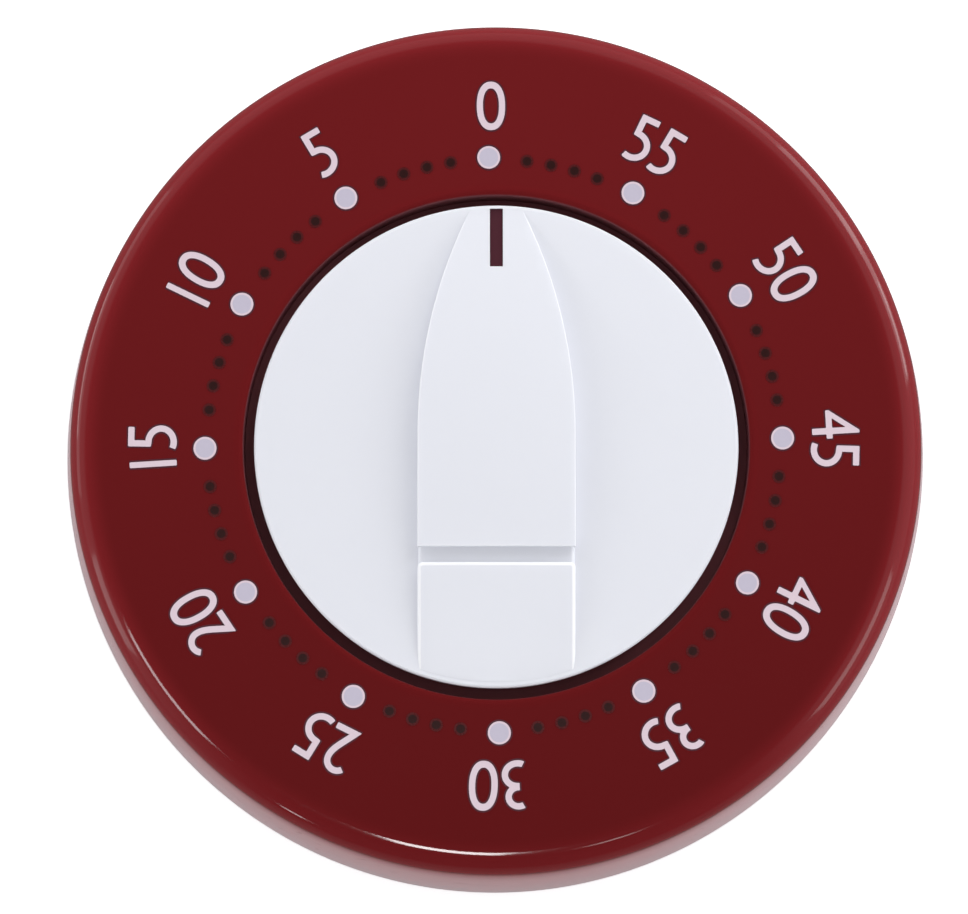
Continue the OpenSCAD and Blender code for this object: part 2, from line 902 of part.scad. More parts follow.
module gong() {
  r1 = gong_r - gong_bend_r;
  color(steel)
    translate(concat(gong_at, 0))
      rotate_extrude()
        difference() {
          union() {
            translate([0, gong_top - gong_h]) square([gong_r, gong_h - gong_bend_r]);
            translate([0, gong_top - gong_h]) square([r1, gong_h]);
            translate([r1, gong_top - gong_bend_r]) circle(r = gong_bend_r);
          }
          translate([0, gong_top - gong_h - 1])
            square([gong_r - gong_t, gong_h + 1 - gong_bend_r]);
          translate([0, gong_top - gong_h - 1]) square([r1, gong_h + 1 - gong_t]);
          translate([r1, gong_top - gong_bend_r]) circle(r = gong_bend_r - gong_t);
          square([gong_thread_r + fit_gap, gong_top + 1]);
        }
}

module gong_post() {
  color(steel)
    translate(concat(gong_at, 0)) {
      translate([0, 0, gong_top]) cylinder(r = gong_post_r, h = back_z - gong_top);
      translate([0, 0, back_z - eps]) cylinder(r = gong_tail_r, h = plate_t);
      translate([0, 0, gong_top - gong_t - gong_thread_l])
        cylinder(r = gong_thread_r, h = gong_t + gong_thread_l + eps);
    }
}

module gong_nut() {
  color(steel)
    translate(concat(gong_at, gong_top - gong_t - nut_h))
      difference() {
        cylinder(r = nut_r, h = nut_h, $fn = 6);
        translate([0, 0, -1]) cylinder(r = gong_thread_r + fit_gap, h = 3);
      }
}

module hammer_stud() {
  color(steel)
    translate(concat(hammer_at, 0)) {
      translate([0, 0, lever_z + lever_h + hammer_collar_gap])
        cylinder(r = hammer_collar_r, h = back_z - lever_z - lever_h - hammer_collar_gap);
      translate([0, 0, back_z - eps]) cylinder(r = stud_tail_r, h = plate_t);
      translate([0, 0, lever_z - 2 * hammer_washer_gap])
        cylinder(r = hammer_pin_r, h = back_z - lever_z);
      translate([0, 0, lever_z - hammer_washer_gap - hammer_washer_h])
        cylinder(r = hammer_washer_r, h = hammer_washer_h);
    }
}

// lever with one arm to the cam's rim and one to the hammer head
module hammer_lever() {
  tip = polar(tip_rad, tip_a);
  color(steel)
    translate([0, 0, lever_z])
      linear_extrude(height = lever_h)
        difference() {
          union() {
            translate(hammer_at) circle(r = lever_eye_r);
            strip(hammer_at, [-2.2, -8.1], 1.5);
            polygon([[-3.6, -7.2], [-2.6, -8.8], [-0.9, -8.7], tip + [0.35, -0.06], tip + [-0.1, 0]]);
            strip(hammer_at, head_at, lever_w);
            translate(head_at) circle(r = head_r + 0.1);
          }
          translate(hammer_at) circle(r = hammer_pin_r + run_gap);
          translate(head_at) circle(r = head_tail_r + fit_gap);
        }
}

module hammer_head() {
  color(brass)
    translate(concat(head_at, 0)) {
      translate([0, 0, head_bottom]) cylinder(r = head_r, h = lever_z - head_bottom);
      translate([0, 0, lever_z - eps]) cylinder(r = head_tail_r, h = lever_h + 0.2);
    }
}

module second_arbor() {
  color(steel)
    translate(concat(second_at, 0))
      arbor_with_seats(arbor_2_r,
        [[seat_2, pinion_1_z, second_z + thin_wheel_h - pinion_1_z]],
        [[collar_2_r, pinion_1_z - shoulder_h, shoulder_h]]);
}

module second_pinion() {
  color(steel)
    translate(concat(second_at, pinion_1_z))
      pinion(mod_1, second_z - pinion_1_z, second_a + 180, seat_2);
}

module second_wheel() {
  color(brass)
    translate(concat(second_at, second_z))
      wheel(second_n, mod_2, thin_wheel_h, to_third, 5, hub_2_r, rim_2, seat_2);
}

module third_arbor() {
  color(steel)
    translate(concat(third_at, 0))
      arbor_with_seats(arbor_3_r,
        [[seat_3w, third_z, thin_wheel_h], [seat_3, third_pinion_z, third_pinion_h]],
        [[collar_2_r, third_z + thin_wheel_h, shoulder_h],
          [collar_3_r, third_pinion_z - shoulder_h, shoulder_h]]);
}

module third_pinion() {
  color(steel)
    translate(concat(third_at, third_pinion_z))
      pinion(mod_2, third_pinion_h, to_third + 180, seat_3);
}

module third_wheel() {
  color(brass)
    translate(concat(third_at, third_z))
      wheel(third_n, mod_3, thin_wheel_h, to_escape, 4, hub_3_r, rim_3, seat_3w);
}

module escape_arbor() {
  color(steel)
    translate(concat(escape_at, 0))
      arbor_with_seats(arbor_4_r,
        [[seat_4, escape_pinion_z, escape_pinion_h], [seat_4, escape_z, thin_wheel_h]],
        [[collar_4p_r, escape_pinion_z + escape_pinion_h, shoulder_h],
          [collar_4_r, escape_z - shoulder_h, shoulder_h]]);
}

module escape_pinion() {
  color(steel)
    translate(concat(escape_at, escape_pinion_z))
      pinion(mod_3, escape_pinion_h, to_escape + 180, seat_4);
}

// pointed teeth with one long and one short flank
module escape_wheel() {
  step = 360 / escape_n;
  color(brass)
    translate(concat(escape_at, escape_z))
      linear_extrude(height = thin_wheel_h)
        difference() {
          rotate(to_anchor)
            polygon([for (i = [0 : escape_n - 1], k = [0 : 3])
              k == 0 ? polar(escape_r, step * i - 0.8)
              : k == 1 ? polar(escape_r, step * i + 0.8)
              : k == 2 ? polar(escape_r - escape_tooth, step * i + 7)
              : polar(escape_r - escape_tooth, step * i + step - 4.5)]);
          windows(3, hub_4_r, escape_r - escape_tooth - escape_rim, escape_spoke_w);
          square_seat(seat_4 + 2 * fit_gap);
        }
}

// anchor: a plate over the escape wheel with two hanging pins
function pin_at(side) = escape_at + polar(pin_reach, to_anchor + side * pin_a);

module anchor() {
  color(steel) {
    translate([0, 0, anchor_z])
      linear_extrude(height = anchor_h)
        difference() {
          union() {
            translate(anchor_at) circle(r = anchor_hub_r);
            for (s = [-1, 1]) {
              strip(anchor_at, pin_at(s), anchor_arm_w);
              translate(pin_at(s)) circle(r = anchor_eye_r);
            }
          }
          translate(anchor_at) square_seat(seat_4 + 2 * fit_gap);
        }
    for (s = [-1, 1])
      translate(concat(pin_at(s), escape_z - shoulder_h))
        cylinder(r = pin_r, h = anchor_z - escape_z + shoulder_h + eps);
  }
}

module anchor_arbor() {
  color(steel)
    translate(concat(anchor_at, 0))
      arbor_with_seats(arbor_4_r,
        [[seat_4, bar_z, anchor_h], [seat_4, anchor_z, anchor_h]],
        [[collar_4_r, bar_z + anchor_h, shoulder_h],
          [collar_4_r, anchor_z - shoulder_h, shoulder_h]]);
}

// bar with a weight at each end, set across the line to the escape wheel
module inertia_bar() {
  color(brass)
    translate(concat(anchor_at, bar_z))
      rotate(to_anchor + 90)
        linear_extrude(height = anchor_h)
          difference() {
            union() {
              square([bar_l, bar_w], center = true);
              circle(r = bar_hub_r);
              for (s = [-1, 1]) translate([s * bar_weight_rad, 0]) circle(r = bar_w);
            }
            rotate(-to_anchor - 90) square_seat(seat_4 + 2 * fit_gap);
          }
}

base_plate();
rubber_feet();
base_screw();
main_arbor();
release_cam();
ratchet_wheel();
great_wheel();
wheel_collet();
arbor_clip();
click_stud();
click_spring();
pointer_disc();
click();
dial_housing();
front_plate();
back_plate();
plate_pillars();
pillar_screws();
housing_screws();
spring_post();
mainspring();
gong();
gong_post();
gong_nut();
hammer_stud();
hammer_lever();
hammer_head();
second_arbor();
second_pinion();
second_wheel();
third_arbor();
third_pinion();
third_wheel();
escape_arbor();
escape_pinion();
escape_wheel();
anchor_arbor();
anchor();
inertia_bar();
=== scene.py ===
import json
import math

import bpy
from mathutils import Matrix, Vector


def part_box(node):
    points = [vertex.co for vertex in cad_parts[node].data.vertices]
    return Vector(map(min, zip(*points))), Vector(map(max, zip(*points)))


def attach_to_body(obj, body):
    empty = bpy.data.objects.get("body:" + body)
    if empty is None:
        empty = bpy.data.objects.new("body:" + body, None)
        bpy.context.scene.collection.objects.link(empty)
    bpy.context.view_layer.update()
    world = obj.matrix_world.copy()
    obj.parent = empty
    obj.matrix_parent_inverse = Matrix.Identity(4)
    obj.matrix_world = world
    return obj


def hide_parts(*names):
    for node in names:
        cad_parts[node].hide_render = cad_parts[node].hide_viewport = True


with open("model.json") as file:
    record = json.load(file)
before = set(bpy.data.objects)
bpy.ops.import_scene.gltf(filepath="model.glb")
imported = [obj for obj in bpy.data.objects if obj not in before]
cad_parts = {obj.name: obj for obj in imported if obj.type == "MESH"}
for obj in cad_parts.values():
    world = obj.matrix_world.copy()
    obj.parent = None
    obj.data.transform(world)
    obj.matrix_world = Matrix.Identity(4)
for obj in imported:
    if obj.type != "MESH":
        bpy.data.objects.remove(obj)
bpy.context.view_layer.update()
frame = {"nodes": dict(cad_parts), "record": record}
nodes = frame["nodes"]

MM = 0.001
# how far a cutter reaches past what it cuts
PAST = 1 * MM
# places closer than this are one place
SAME_PLACE = 0.001 * MM
# faces that meet at less than this angle look like one smooth surface
SMOOTH_ANGLE = math.radians(30)

# ---------------------------------------------------------------- sizes, in metres

DISC_LOW, DISC_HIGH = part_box("pointer_disc")
CUP_LOW, CUP_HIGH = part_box("dial_housing")
CUP_R = CUP_HIGH.x
FACE_Z = CUP_HIGH.z
DISC_R = DISC_HIGH.x
DOME_TOP_Z = DISC_HIGH.z

# pointer disc
RIM_ROUND = 0.3 * MM
DISC_UNDER_Z = FACE_Z - 1.6 * MM
DISC_SKIRT_Z = 22.6 * MM
SKIRT_WALL = 1.4 * MM
HUB_R = 4 * MM
HUB_SINK = 0.4 * MM
BORE_R = 2.22 * MM
BORE_FLAT = 1.62 * MM
RIB_W = 1.2 * MM
RIB_END_GAP = 0.7 * MM
RIB_LIFT = 0.6 * MM
RELIEF_REACH = DISC_R - 0.4 * MM
RELIEF_H = DOME_TOP_Z - FACE_Z
RELIEF_ROOT_Z = FACE_Z - 0.8 * MM
DOME_R = (RELIEF_REACH ** 2 + RELIEF_H ** 2) / (2 * RELIEF_H)
CAP_DEPTH = 3 * MM
POINTER_HALF_W = 6.93 * MM
POINTER_END_Y = -9.0 * MM
OGIVE_R = 45.5 * MM
OGIVE_Y = 1.0 * MM
PAD_Y = -10.4 * MM
PAD_CORNER_R = 0.45 * MM
POINTER_EDGE_R = 0.6 * MM
PAD_EDGE_R = 0.3 * MM
GROOVE_DEPTH = 0.8 * MM
GROOVE_OVERLAP = 0.4 * MM
GROOVE_SIDE_GAP = 0.05 * MM
GRID_STEP = 1.0 * MM
INDEX_W = 1.16 * MM
INDEX_Y0 = 15.8 * MM
INDEX_Y1 = 21.1 * MM
INDEX_DEPTH = 0.25 * MM
PAINT_GAP = 0.01 * MM
PAINT_THICK = 0.04 * MM

# cup
TURN_STEPS = 360
CUP_WALL = 2 * MM
WALL_ARC_R = 191 * MM
FOOT_LEAN = math.radians(2.2)
SHOULDER_R = 2.3 * MM
LIP_R = 0.5 * MM
LIP_EDGE = 0.3 * MM
WELL_R = DISC_R + 1 * MM
WELL_WALL = 1.6 * MM
WELL_FLOOR_Z = 22 * MM
WELL_UNDER_Z = WELL_FLOOR_Z - WELL_WALL
HUB_HOLE_R = 4.8 * MM
BUSH_R = 3 * MM
BUSH_RING = 29.5 * MM
BUSH_SIDES = (30, 150, 270)
BUSH_Z = 18.6 * MM
BUSH_TOP_Z = FACE_Z - 1.5 * MM
BUSH_HOLE_R = 1.02 * MM
BUSH_HOLE_Z = 22.8 * MM
LUG_SIDE = math.radians(-94)
LUG_LOW = (35 * MM, -1.15 * MM, 3.6 * MM)
LUG_HIGH = (38.5 * MM, 1.15 * MM, 8.6 * MM)

# painted light on the cup, in a lighter red: round the shoulder, and how much of it there is from
# the near side to the middle, down the wall, and into the shade of the well
SHOULDER_LIGHT_R = (34.6 * MM, 37.0 * MM)
SHOULDER_LIGHT_Y = (-CUP_R, -0.3 * CUP_R)
SHOULDER_LIGHT_SHARE = (0.35, 1)
WALL_LIGHT_Z = (24.6 * MM, 23.4 * MM)
WELL_LIGHT_R = (DISC_R + 1.5 * MM, DISC_R + 1.3 * MM)
WELL_LIGHT_Z = (FACE_Z - 0.2 * MM, FACE_Z - 0.8 * MM)

# printing on the face
PRINT_THICK = 0.03 * MM
BLEED_THICK = 0.012 * MM
PRINT_TURN = 1.04
PRINT_SHIFT = (-0.212 * MM, 0.181 * MM)
WHITE_DOT_RING = 25.5 * MM
WHITE_DOT_R = 1.015 * MM
WHITE_DOT_EDGE = 0.18 * MM
DARK_DOT_RING = 25.32 * MM
DARK_DOT_R = 0.58 * MM
DARK_DOT_EDGE = 0.19 * MM
DARK_DOT_ANGLES = (7.7, 12.55, 17.4, 22.3)
NUMERAL_FOOT_R = 27.98 * MM
NUMERAL_MID_R = 30.13 * MM
BLEED = 0.16 * MM
# the digits are drawn in millimetres
STROKE = 0.53
DIGIT_GROWTH = 1.044
DIGIT_WIDTHS = {"0": 2.42, "1": 0.49, "2": 2.3, "3": 2.08, "4": 2.42, "5": 2.21}
# each number, how far its middle stands anticlockwise of its dot in degrees, and its digits' gap
NUMBERS = (("0", -0.54, 0), ("5", -0.14, 0), ("10", -0.32, 0.97), ("15", -0.52, 0.82),
           ("20", 0.25, 0.25), ("25", -0.08, 0.23), ("30", -0.43, 0.34), ("35", -0.02, 0.22),
           ("40", 0.11, 0.33), ("45", -0.19, 0.19), ("50", -0.32, 0.42), ("55", 0.83, 0.28))

# sides of round pieces
FINE_SIDES = 256
HUB_SIDES = 96
OGIVE_SIDES = 720
BUSH_FACETS = 64
HOLE_FACETS = 32

# camera
IMAGE_W, IMAGE_H = 968, 914
CAMERA_TILT = math.radians(5.08)
CAMERA_SIDE = math.radians(-94.8)
CAMERA_DISTANCE = 330 * MM
PIXELS_PER_MM = 11.328
FACE_CENTRE_PIXEL = (496.4, 445.2)
SENSOR = 36.0

# table
FLOOR_SIZE = 8
FLOOR_DROP = 0.02 * MM
FLOOR_LIFT = 0.55
# painted shade in the wall's gloss: what gloss sees of the table is painted pale close to the foot
# and dim beyond
FLOOR_NEAR_R, FLOOR_FAR_R = 43.2 * MM, 45.8 * MM
FLOOR_NEAR_PAINTED_SHADE = (0.86, 0.81, 0.83)
FLOOR_FAR_PAINTED_SHADE = (0.21, 0.20, 0.20)

# how bright the room is by height, 0 at the horizon and 1 straight above: what it lights with,
# and what gloss sees of it
ROOM_LEVEL = 2.0
ROOM_LIGHT = ((0.0, 0.9), (1.0, 0.22), (0.42, 0.9), (0.55, 0.5), (0.75, 0.24))
ROOM_SEEN = ((0.0, 0.60), (0.75, 0.015), (0.60, 0.54))
ROOM_RIGHT_LIFT = 0.45

# lamps: azimuth, angle from straight above, width and height in degrees, and brightness; the
# key lamp lights and doesn't show in gloss, the others only show in gloss
KEY_DISTANCE = 0.5
KEY_LAMP = (55, 50, 36, 30, 2.2)
GLOSS_LAMP_DISTANCE = 0.9
GLOSS_LAMPS = {
    "strip_lower_left": (210.5, 39, 13, 10, 12),
    "strip_lower_left_small": (239, 74, 3.6, 5, 12),
    "strip_near": (262.5, 21.5, 7.6, 10, 34),
    "strip_lower_right": (289.7, 32.5, 4.2, 4, 9),
    "strip_right": (21, 82, 13, 9, 4.4),
    "strip_right_soft": (26, 80, 24, 25, 2.3),
    "panel_right": (41, 76, 17, 24, 2.3),
    "panel_right_soft": (42, 77, 36, 22, 0.9),
    "panel_lower_right": (336, 63, 20, 18, 3),
    "panel_left": (198, 72, 14, 25, 2.5),
    "strip_left": (163, 89, 22, 9, 3.0),
    "strip_left_soft": (160, 85, 44, 22, 1.0)}


# ---------------------------------------------------------------- camera and stage

def make_camera():
    """Looks almost straight down on the dial, from slightly nearer the pad's side."""
    ux, uy = math.cos(CAMERA_SIDE), math.sin(CAMERA_SIDE)
    sin_t, cos_t = math.sin(CAMERA_TILT), math.cos(CAMERA_TILT)
    along = Vector((ux, uy, 0))
    across = Vector((-uy, ux, 0))
    up = Vector((0, 0, 1))
    back = sin_t * along + cos_t * up
    right = ux * cos_t * along - uy * across - ux * sin_t * up
    top = uy * cos_t * along + ux * across - uy * sin_t * up
    data = bpy.data.cameras.new("camera")
    camera = bpy.data.objects.new("camera", data)
    bpy.context.scene.collection.objects.link(camera)
    turn = Matrix((right, top, back)).transposed().to_4x4()
    camera.matrix_world = Matrix.Translation(Vector((0, 0, FACE_Z)) + CAMERA_DISTANCE * back) @ turn
    data.sensor_width = SENSOR
    data.lens = SENSOR * PIXELS_PER_MM * (CAMERA_DISTANCE / MM) / IMAGE_W
    data.shift_x = (IMAGE_W / 2 - FACE_CENTRE_PIXEL[0]) / IMAGE_W
    data.shift_y = (FACE_CENTRE_PIXEL[1] - IMAGE_H / 2) / IMAGE_W
    data.clip_start = 0.01
    data.clip_end = 20
    bpy.context.scene.camera = camera


def polar_place(azimuth, from_zenith, distance):
    a, p = math.radians(azimuth), math.radians(from_zenith)
    return Vector((math.cos(a) * math.sin(p), math.sin(a) * math.sin(p), math.cos(p))) * distance


def softbox(name, azimuth, from_zenith, across, upright, radiance, distance):
    """A soft light aimed at the dial; across and upright are the angles it fills, in degrees."""
    width = 2 * distance * math.tan(math.radians(across / 2))
    height = 2 * distance * math.tan(math.radians(upright / 2))
    data = bpy.data.lights.new(name, "AREA")
    data.shape = "RECTANGLE"
    data.size = width
    data.size_y = height
    data.energy = radiance * math.pi * width * height
    lamp = bpy.data.objects.new(name, data)
    bpy.context.scene.collection.objects.link(lamp)
    outward = polar_place(azimuth, from_zenith, distance)
    lamp.location = outward + Vector((0, 0, FACE_Z))
    lamp.rotation_euler = outward.to_track_quat("Z", "Y").to_euler()
    lamp.visible_camera = False
    return lamp


def make_lights():
    key = softbox("key_above", *KEY_LAMP, KEY_DISTANCE)
    key.visible_glossy = False
    for name, place in GLOSS_LAMPS.items():
        lamp = softbox(name, *place, GLOSS_LAMP_DISTANCE)
        lamp.visible_diffuse = False


def make_surround():
    """A pale room. Gloss sees it darker than it lights, and dark above and on the near side."""
    world = bpy.data.worlds.new("studio")
    bpy.context.scene.world = world
    world.use_nodes = True
    tree = world.node_tree
    tree.nodes.clear()
    place = tree.nodes.new("ShaderNodeTexCoord")
    split = tree.nodes.new("ShaderNodeSeparateXYZ")
    level = tree.nodes.new("ShaderNodeVectorMath")
    level.operation = "MULTIPLY"
    level.inputs[1].default_value = (1, 1, 0)
    aim = tree.nodes.new("ShaderNodeVectorMath")
    aim.operation = "NORMALIZE"
    links = tree.links
    links.new(place.outputs["Generated"], split.inputs[0])
    links.new(place.outputs["Generated"], level.inputs[0])
    links.new(level.outputs[0], aim.inputs[0])

    def by_height(source, stops):
        ramp = tree.nodes.new("ShaderNodeValToRGB")
        points = ramp.color_ramp.elements
        for k, (position, value) in enumerate(stops):
            point = points[k] if k < 2 else points.new(position)
            point.position = position
            point.color = (value, value, value * 1.02, 1)
        links.new(source, ramp.inputs[0])
        return ramp.outputs[0]

    def by_side(toward, near, far, low, high):
        side = tree.nodes.new("ShaderNodeVectorMath")
        side.operation = "DOT_PRODUCT"
        side.inputs[1].default_value = toward
        links.new(aim.outputs[0], side.inputs[0])
        step = tree.nodes.new("ShaderNodeMapRange")
        step.interpolation_type = "SMOOTHSTEP"
        for label, value in (("From Min", near), ("From Max", far), ("To Min", low),
                             ("To Max", high)):
            step.inputs[label].default_value = value
        links.new(side.outputs["Value"], step.inputs["Value"])
        return step.outputs["Result"]

    def background(colour, strength):
        light = tree.nodes.new("ShaderNodeBackground")
        links.new(colour, light.inputs["Color"])
        links.new(strength, light.inputs["Strength"])
        return light.outputs[0]

    # the bright part starts higher up on the right
    right = tree.nodes.new("ShaderNodeMath")
    right.operation = "MAXIMUM"
    right.inputs[1].default_value = 0
    lean = tree.nodes.new("ShaderNodeMath")
    lean.operation = "MULTIPLY_ADD"
    lean.inputs[1].default_value = -ROOM_RIGHT_LIFT
    links.new(split.outputs["X"], right.inputs[0])
    links.new(right.outputs[0], lean.inputs[0])
    links.new(split.outputs["Z"], lean.inputs[2])
    lit = background(by_height(split.outputs["Z"], ROOM_LIGHT),
                     by_side((0.2, 0.98, 0), -1, 1, ROOM_LEVEL * 0.85, ROOM_LEVEL * 1.15))
    seen = background(by_height(lean.outputs[0], ROOM_SEEN),
                      by_side((0, 1, 0), -0.85, -0.4, 0.03, 1))
    path = tree.nodes.new("ShaderNodeLightPath")
    either = tree.nodes.new("ShaderNodeMixShader")
    out = tree.nodes.new("ShaderNodeOutputWorld")
    links.new(path.outputs["Is Glossy Ray"], either.inputs[0])
    links.new(lit, either.inputs[1])
    links.new(seen, either.inputs[2])
    links.new(either.outputs[0], out.inputs[0])


def make_floor():
    """A plain white table, a little lighter to the eye than its own shade would leave it, with
    painted shade in what gloss sees of it.
    """
    deselect()
    bpy.ops.mesh.primitive_plane_add(size=FLOOR_SIZE, location=(0, 0, -FLOOR_DROP))
    floor = bpy.context.object
    floor.name = "floor"
    mat, nds, links, shader = new_material("pale_table")
    noise = nds.new("ShaderNodeTexNoise")
    noise.inputs["Scale"].default_value = 60
    links.new(mix_colour(nds, links, noise.outputs["Fac"], (0.92, 0.92, 0.93), (0.95, 0.95, 0.95)),
              shader.inputs["Base Color"])
    shader.inputs["Roughness"].default_value = 0.7
    path = nds.new("ShaderNodeLightPath")
    radius = radius_and_height(nds, links)[0]
    # painted shade: seen in gloss, the table is painted a little darker near the foot and dim
    # further out
    mix_over(nds, links, shader, FLOOR_NEAR_PAINTED_SHADE, path.outputs["Is Glossy Ray"])
    mix_over(nds, links, shader, FLOOR_FAR_PAINTED_SHADE,
             times(nds, links, path.outputs["Is Glossy Ray"],
                   mask_between(nds, links, radius, FLOOR_NEAR_R, FLOOR_FAR_R)))
    lift = nds.new("ShaderNodeMath")
    lift.operation = "MULTIPLY"
    lift.inputs[1].default_value = FLOOR_LIFT
    links.new(path.outputs["Is Camera Ray"], lift.inputs[0])
    links.new(lift.outputs[0], shader.inputs["Emission Strength"])
    shader.inputs["Emission Color"].default_value = (1, 1, 1, 1)
    floor.data.materials.append(mat)


# ---------------------------------------------------------------- material helpers

def new_material(name):
    mat = bpy.data.materials.new(name)
    mat.use_nodes = True
    nds, links = mat.node_tree.nodes, mat.node_tree.links
    return mat, nds, links, nds["Principled BSDF"]


def mix_colour(nds, links, mask, low, high):
    mix = nds.new("ShaderNodeMix")
    mix.data_type = "RGBA"
    mix.inputs["A"].default_value = (*low, 1)
    mix.inputs["B"].default_value = (*high, 1)
    links.new(mask, mix.inputs["Factor"])
    return mix.outputs["Result"]


def spread(nds, links, value, low, high):
    """Maps a mask from 0..1 on to low..high."""
    node = nds.new("ShaderNodeMapRange")
    node.inputs["To Min"].default_value = low
    node.inputs["To Max"].default_value = high
    links.new(value, node.inputs["Value"])
    return node.outputs["Result"]


def bump(nds, links, shader, height, distance):
    node = nds.new("ShaderNodeBump")
    node.inputs["Strength"].default_value = 1
    node.inputs["Distance"].default_value = distance
    links.new(height, node.inputs["Height"])
    links.new(node.outputs["Normal"], shader.inputs["Normal"])


def new_group(name, inputs, outputs):
    """A shader node group; inputs are (name, default), outputs are names, all plain values."""
    group = bpy.data.node_groups.new(name, "ShaderNodeTree")
    for label, value in inputs:
        socket = group.interface.new_socket(label, in_out="INPUT", socket_type="NodeSocketFloat")
        socket.default_value = value
    for label in outputs:
        group.interface.new_socket(label, in_out="OUTPUT", socket_type="NodeSocketFloat")
    nds = group.nodes
    return group, nds, group.links, nds.new("NodeGroupInput"), nds.new("NodeGroupOutput")


def object_place(nds, scale=None, links=None):
    place = nds.new("ShaderNodeTexCoord")
    if scale is None:
        return place.outputs["Object"]
    mapping = nds.new("ShaderNodeMapping")
    mapping.inputs["Scale"].default_value = scale
    links.new(place.outputs["Object"], mapping.inputs["Vector"])
    return mapping.outputs["Vector"]


def use_group(nds, group, **values):
    node = nds.new("ShaderNodeGroup")
    node.node_tree = group
    for label, value in values.items():
        node.inputs[label.replace("_", " ")].default_value = value
    return node


def moulding_group():
    """Moulded plastic: slow waviness of the skin, a fine skin texture and a drift of tone."""
    group, nds, links, given, result = new_group(
        "moulded_skin", (("Wave Scale", 90.0), ("Skin Scale", 1800.0), ("Skin Share", 0.25)),
        ("Height", "Tone", "Drift"))
    place = object_place(nds)
    wave = nds.new("ShaderNodeTexNoise")
    wave.inputs["Detail"].default_value = 2
    skin = nds.new("ShaderNodeTexNoise")
    skin.inputs["Detail"].default_value = 4
    links.new(place, wave.inputs["Vector"])
    links.new(place, skin.inputs["Vector"])
    links.new(given.outputs["Wave Scale"], wave.inputs["Scale"])
    links.new(given.outputs["Skin Scale"], skin.inputs["Scale"])
    scaled = nds.new("ShaderNodeMath")
    scaled.operation = "MULTIPLY"
    links.new(skin.outputs["Fac"], scaled.inputs[0])
    links.new(given.outputs["Skin Share"], scaled.inputs[1])
    total = nds.new("ShaderNodeMath")
    total.operation = "ADD"
    links.new(wave.outputs["Fac"], total.inputs[0])
    links.new(scaled.outputs[0], total.inputs[1])
    drift = nds.new("ShaderNodeTexNoise")
    drift.inputs["Scale"].default_value = 28
    drift.inputs["Detail"].default_value = 3
    links.new(place, drift.inputs["Vector"])
    links.new(total.outputs[0], result.inputs["Height"])
    links.new(skin.outputs["Fac"], result.inputs["Tone"])
    links.new(drift.outputs["Fac"], result.inputs["Drift"])
    return group


def scuff_group():
    """Fine hairline scuffs from handling, in two directions, broken up by patches."""
    group, nds, links, given, result = new_group(
        "handling_scuffs", (("Amount", 0.5),), ("Mask",))
    masks = []
    for turn, stretch in ((25, 14), (-50, 10)):
        place = nds.new("ShaderNodeTexCoord")
        mapping = nds.new("ShaderNodeMapping")
        mapping.inputs["Rotation"].default_value = (0, 0, math.radians(turn))
        mapping.inputs["Scale"].default_value = (1, stretch, 1)
        noise = nds.new("ShaderNodeTexNoise")
        noise.inputs["Scale"].default_value = 260
        noise.inputs["Detail"].default_value = 3
        links.new(place.outputs["Object"], mapping.inputs["Vector"])
        links.new(mapping.outputs["Vector"], noise.inputs["Vector"])
        sharp = nds.new("ShaderNodeMapRange")
        sharp.inputs["From Min"].default_value = 0.66
        sharp.inputs["From Max"].default_value = 0.80
        links.new(noise.outputs["Fac"], sharp.inputs["Value"])
        masks.append(sharp.outputs["Result"])
    both = nds.new("ShaderNodeMath")
    both.operation = "MAXIMUM"
    links.new(masks[0], both.inputs[0])
    links.new(masks[1], both.inputs[1])
    amount = nds.new("ShaderNodeMath")
    amount.operation = "MULTIPLY"
    links.new(both.outputs[0], amount.inputs[0])
    links.new(given.outputs["Amount"], amount.inputs[1])
    links.new(amount.outputs[0], result.inputs["Mask"])
    return group


def metal_group():
    """Worked metal: fine parallel grain, with blotches of tarnish."""
    group, nds, links, given, result = new_group(
        "worked_metal", (("Grain Scale", 900.0),), ("Grain", "Blotch"))
    place = object_place(nds, (1, 1, 22), links)
    grain = nds.new("ShaderNodeTexNoise")
    grain.inputs["Detail"].default_value = 4
    links.new(place, grain.inputs["Vector"])
    links.new(given.outputs["Grain Scale"], grain.inputs["Scale"])
    plain = object_place(nds)
    blotch = nds.new("ShaderNodeTexNoise")
    blotch.inputs["Scale"].default_value = 130
    blotch.inputs["Detail"].default_value = 5
    links.new(plain, blotch.inputs["Vector"])
    links.new(grain.outputs["Fac"], result.inputs["Grain"])
    links.new(blotch.outputs["Fac"], result.inputs["Blotch"])
    return group


MOULDED = moulding_group()
SCUFFS = scuff_group()
METAL = metal_group()


def plastic(name, low, high, rough_low, rough_high, wave_height, scuffs, wave_scale=90.0,
            skin_scale=1800.0, skin_share=0.25, gloss_level=0.5):
    mat, nds, links, shader = new_material(name)
    skin = use_group(nds, MOULDED, Wave_Scale=wave_scale, Skin_Scale=skin_scale,
                     Skin_Share=skin_share)
    marks = use_group(nds, SCUFFS, Amount=scuffs)
    links.new(mix_colour(nds, links, skin.outputs["Drift"], low, high),
              shader.inputs["Base Color"])
    rough = nds.new("ShaderNodeMath")
    rough.operation = "ADD"
    links.new(spread(nds, links, skin.outputs["Drift"], rough_low, rough_high), rough.inputs[0])
    links.new(marks.outputs["Mask"], rough.inputs[1])
    links.new(rough.outputs[0], shader.inputs["Roughness"])
    shader.inputs["Specular IOR Level"].default_value = gloss_level
    bump(nds, links, shader, skin.outputs["Height"], wave_height)
    return mat


def mask_between(nds, links, value, start, end):
    step = nds.new("ShaderNodeMapRange")
    step.interpolation_type = "SMOOTHSTEP"
    step.inputs["From Min"].default_value = start
    step.inputs["From Max"].default_value = end
    links.new(value, step.inputs["Value"])
    return step.outputs["Result"]


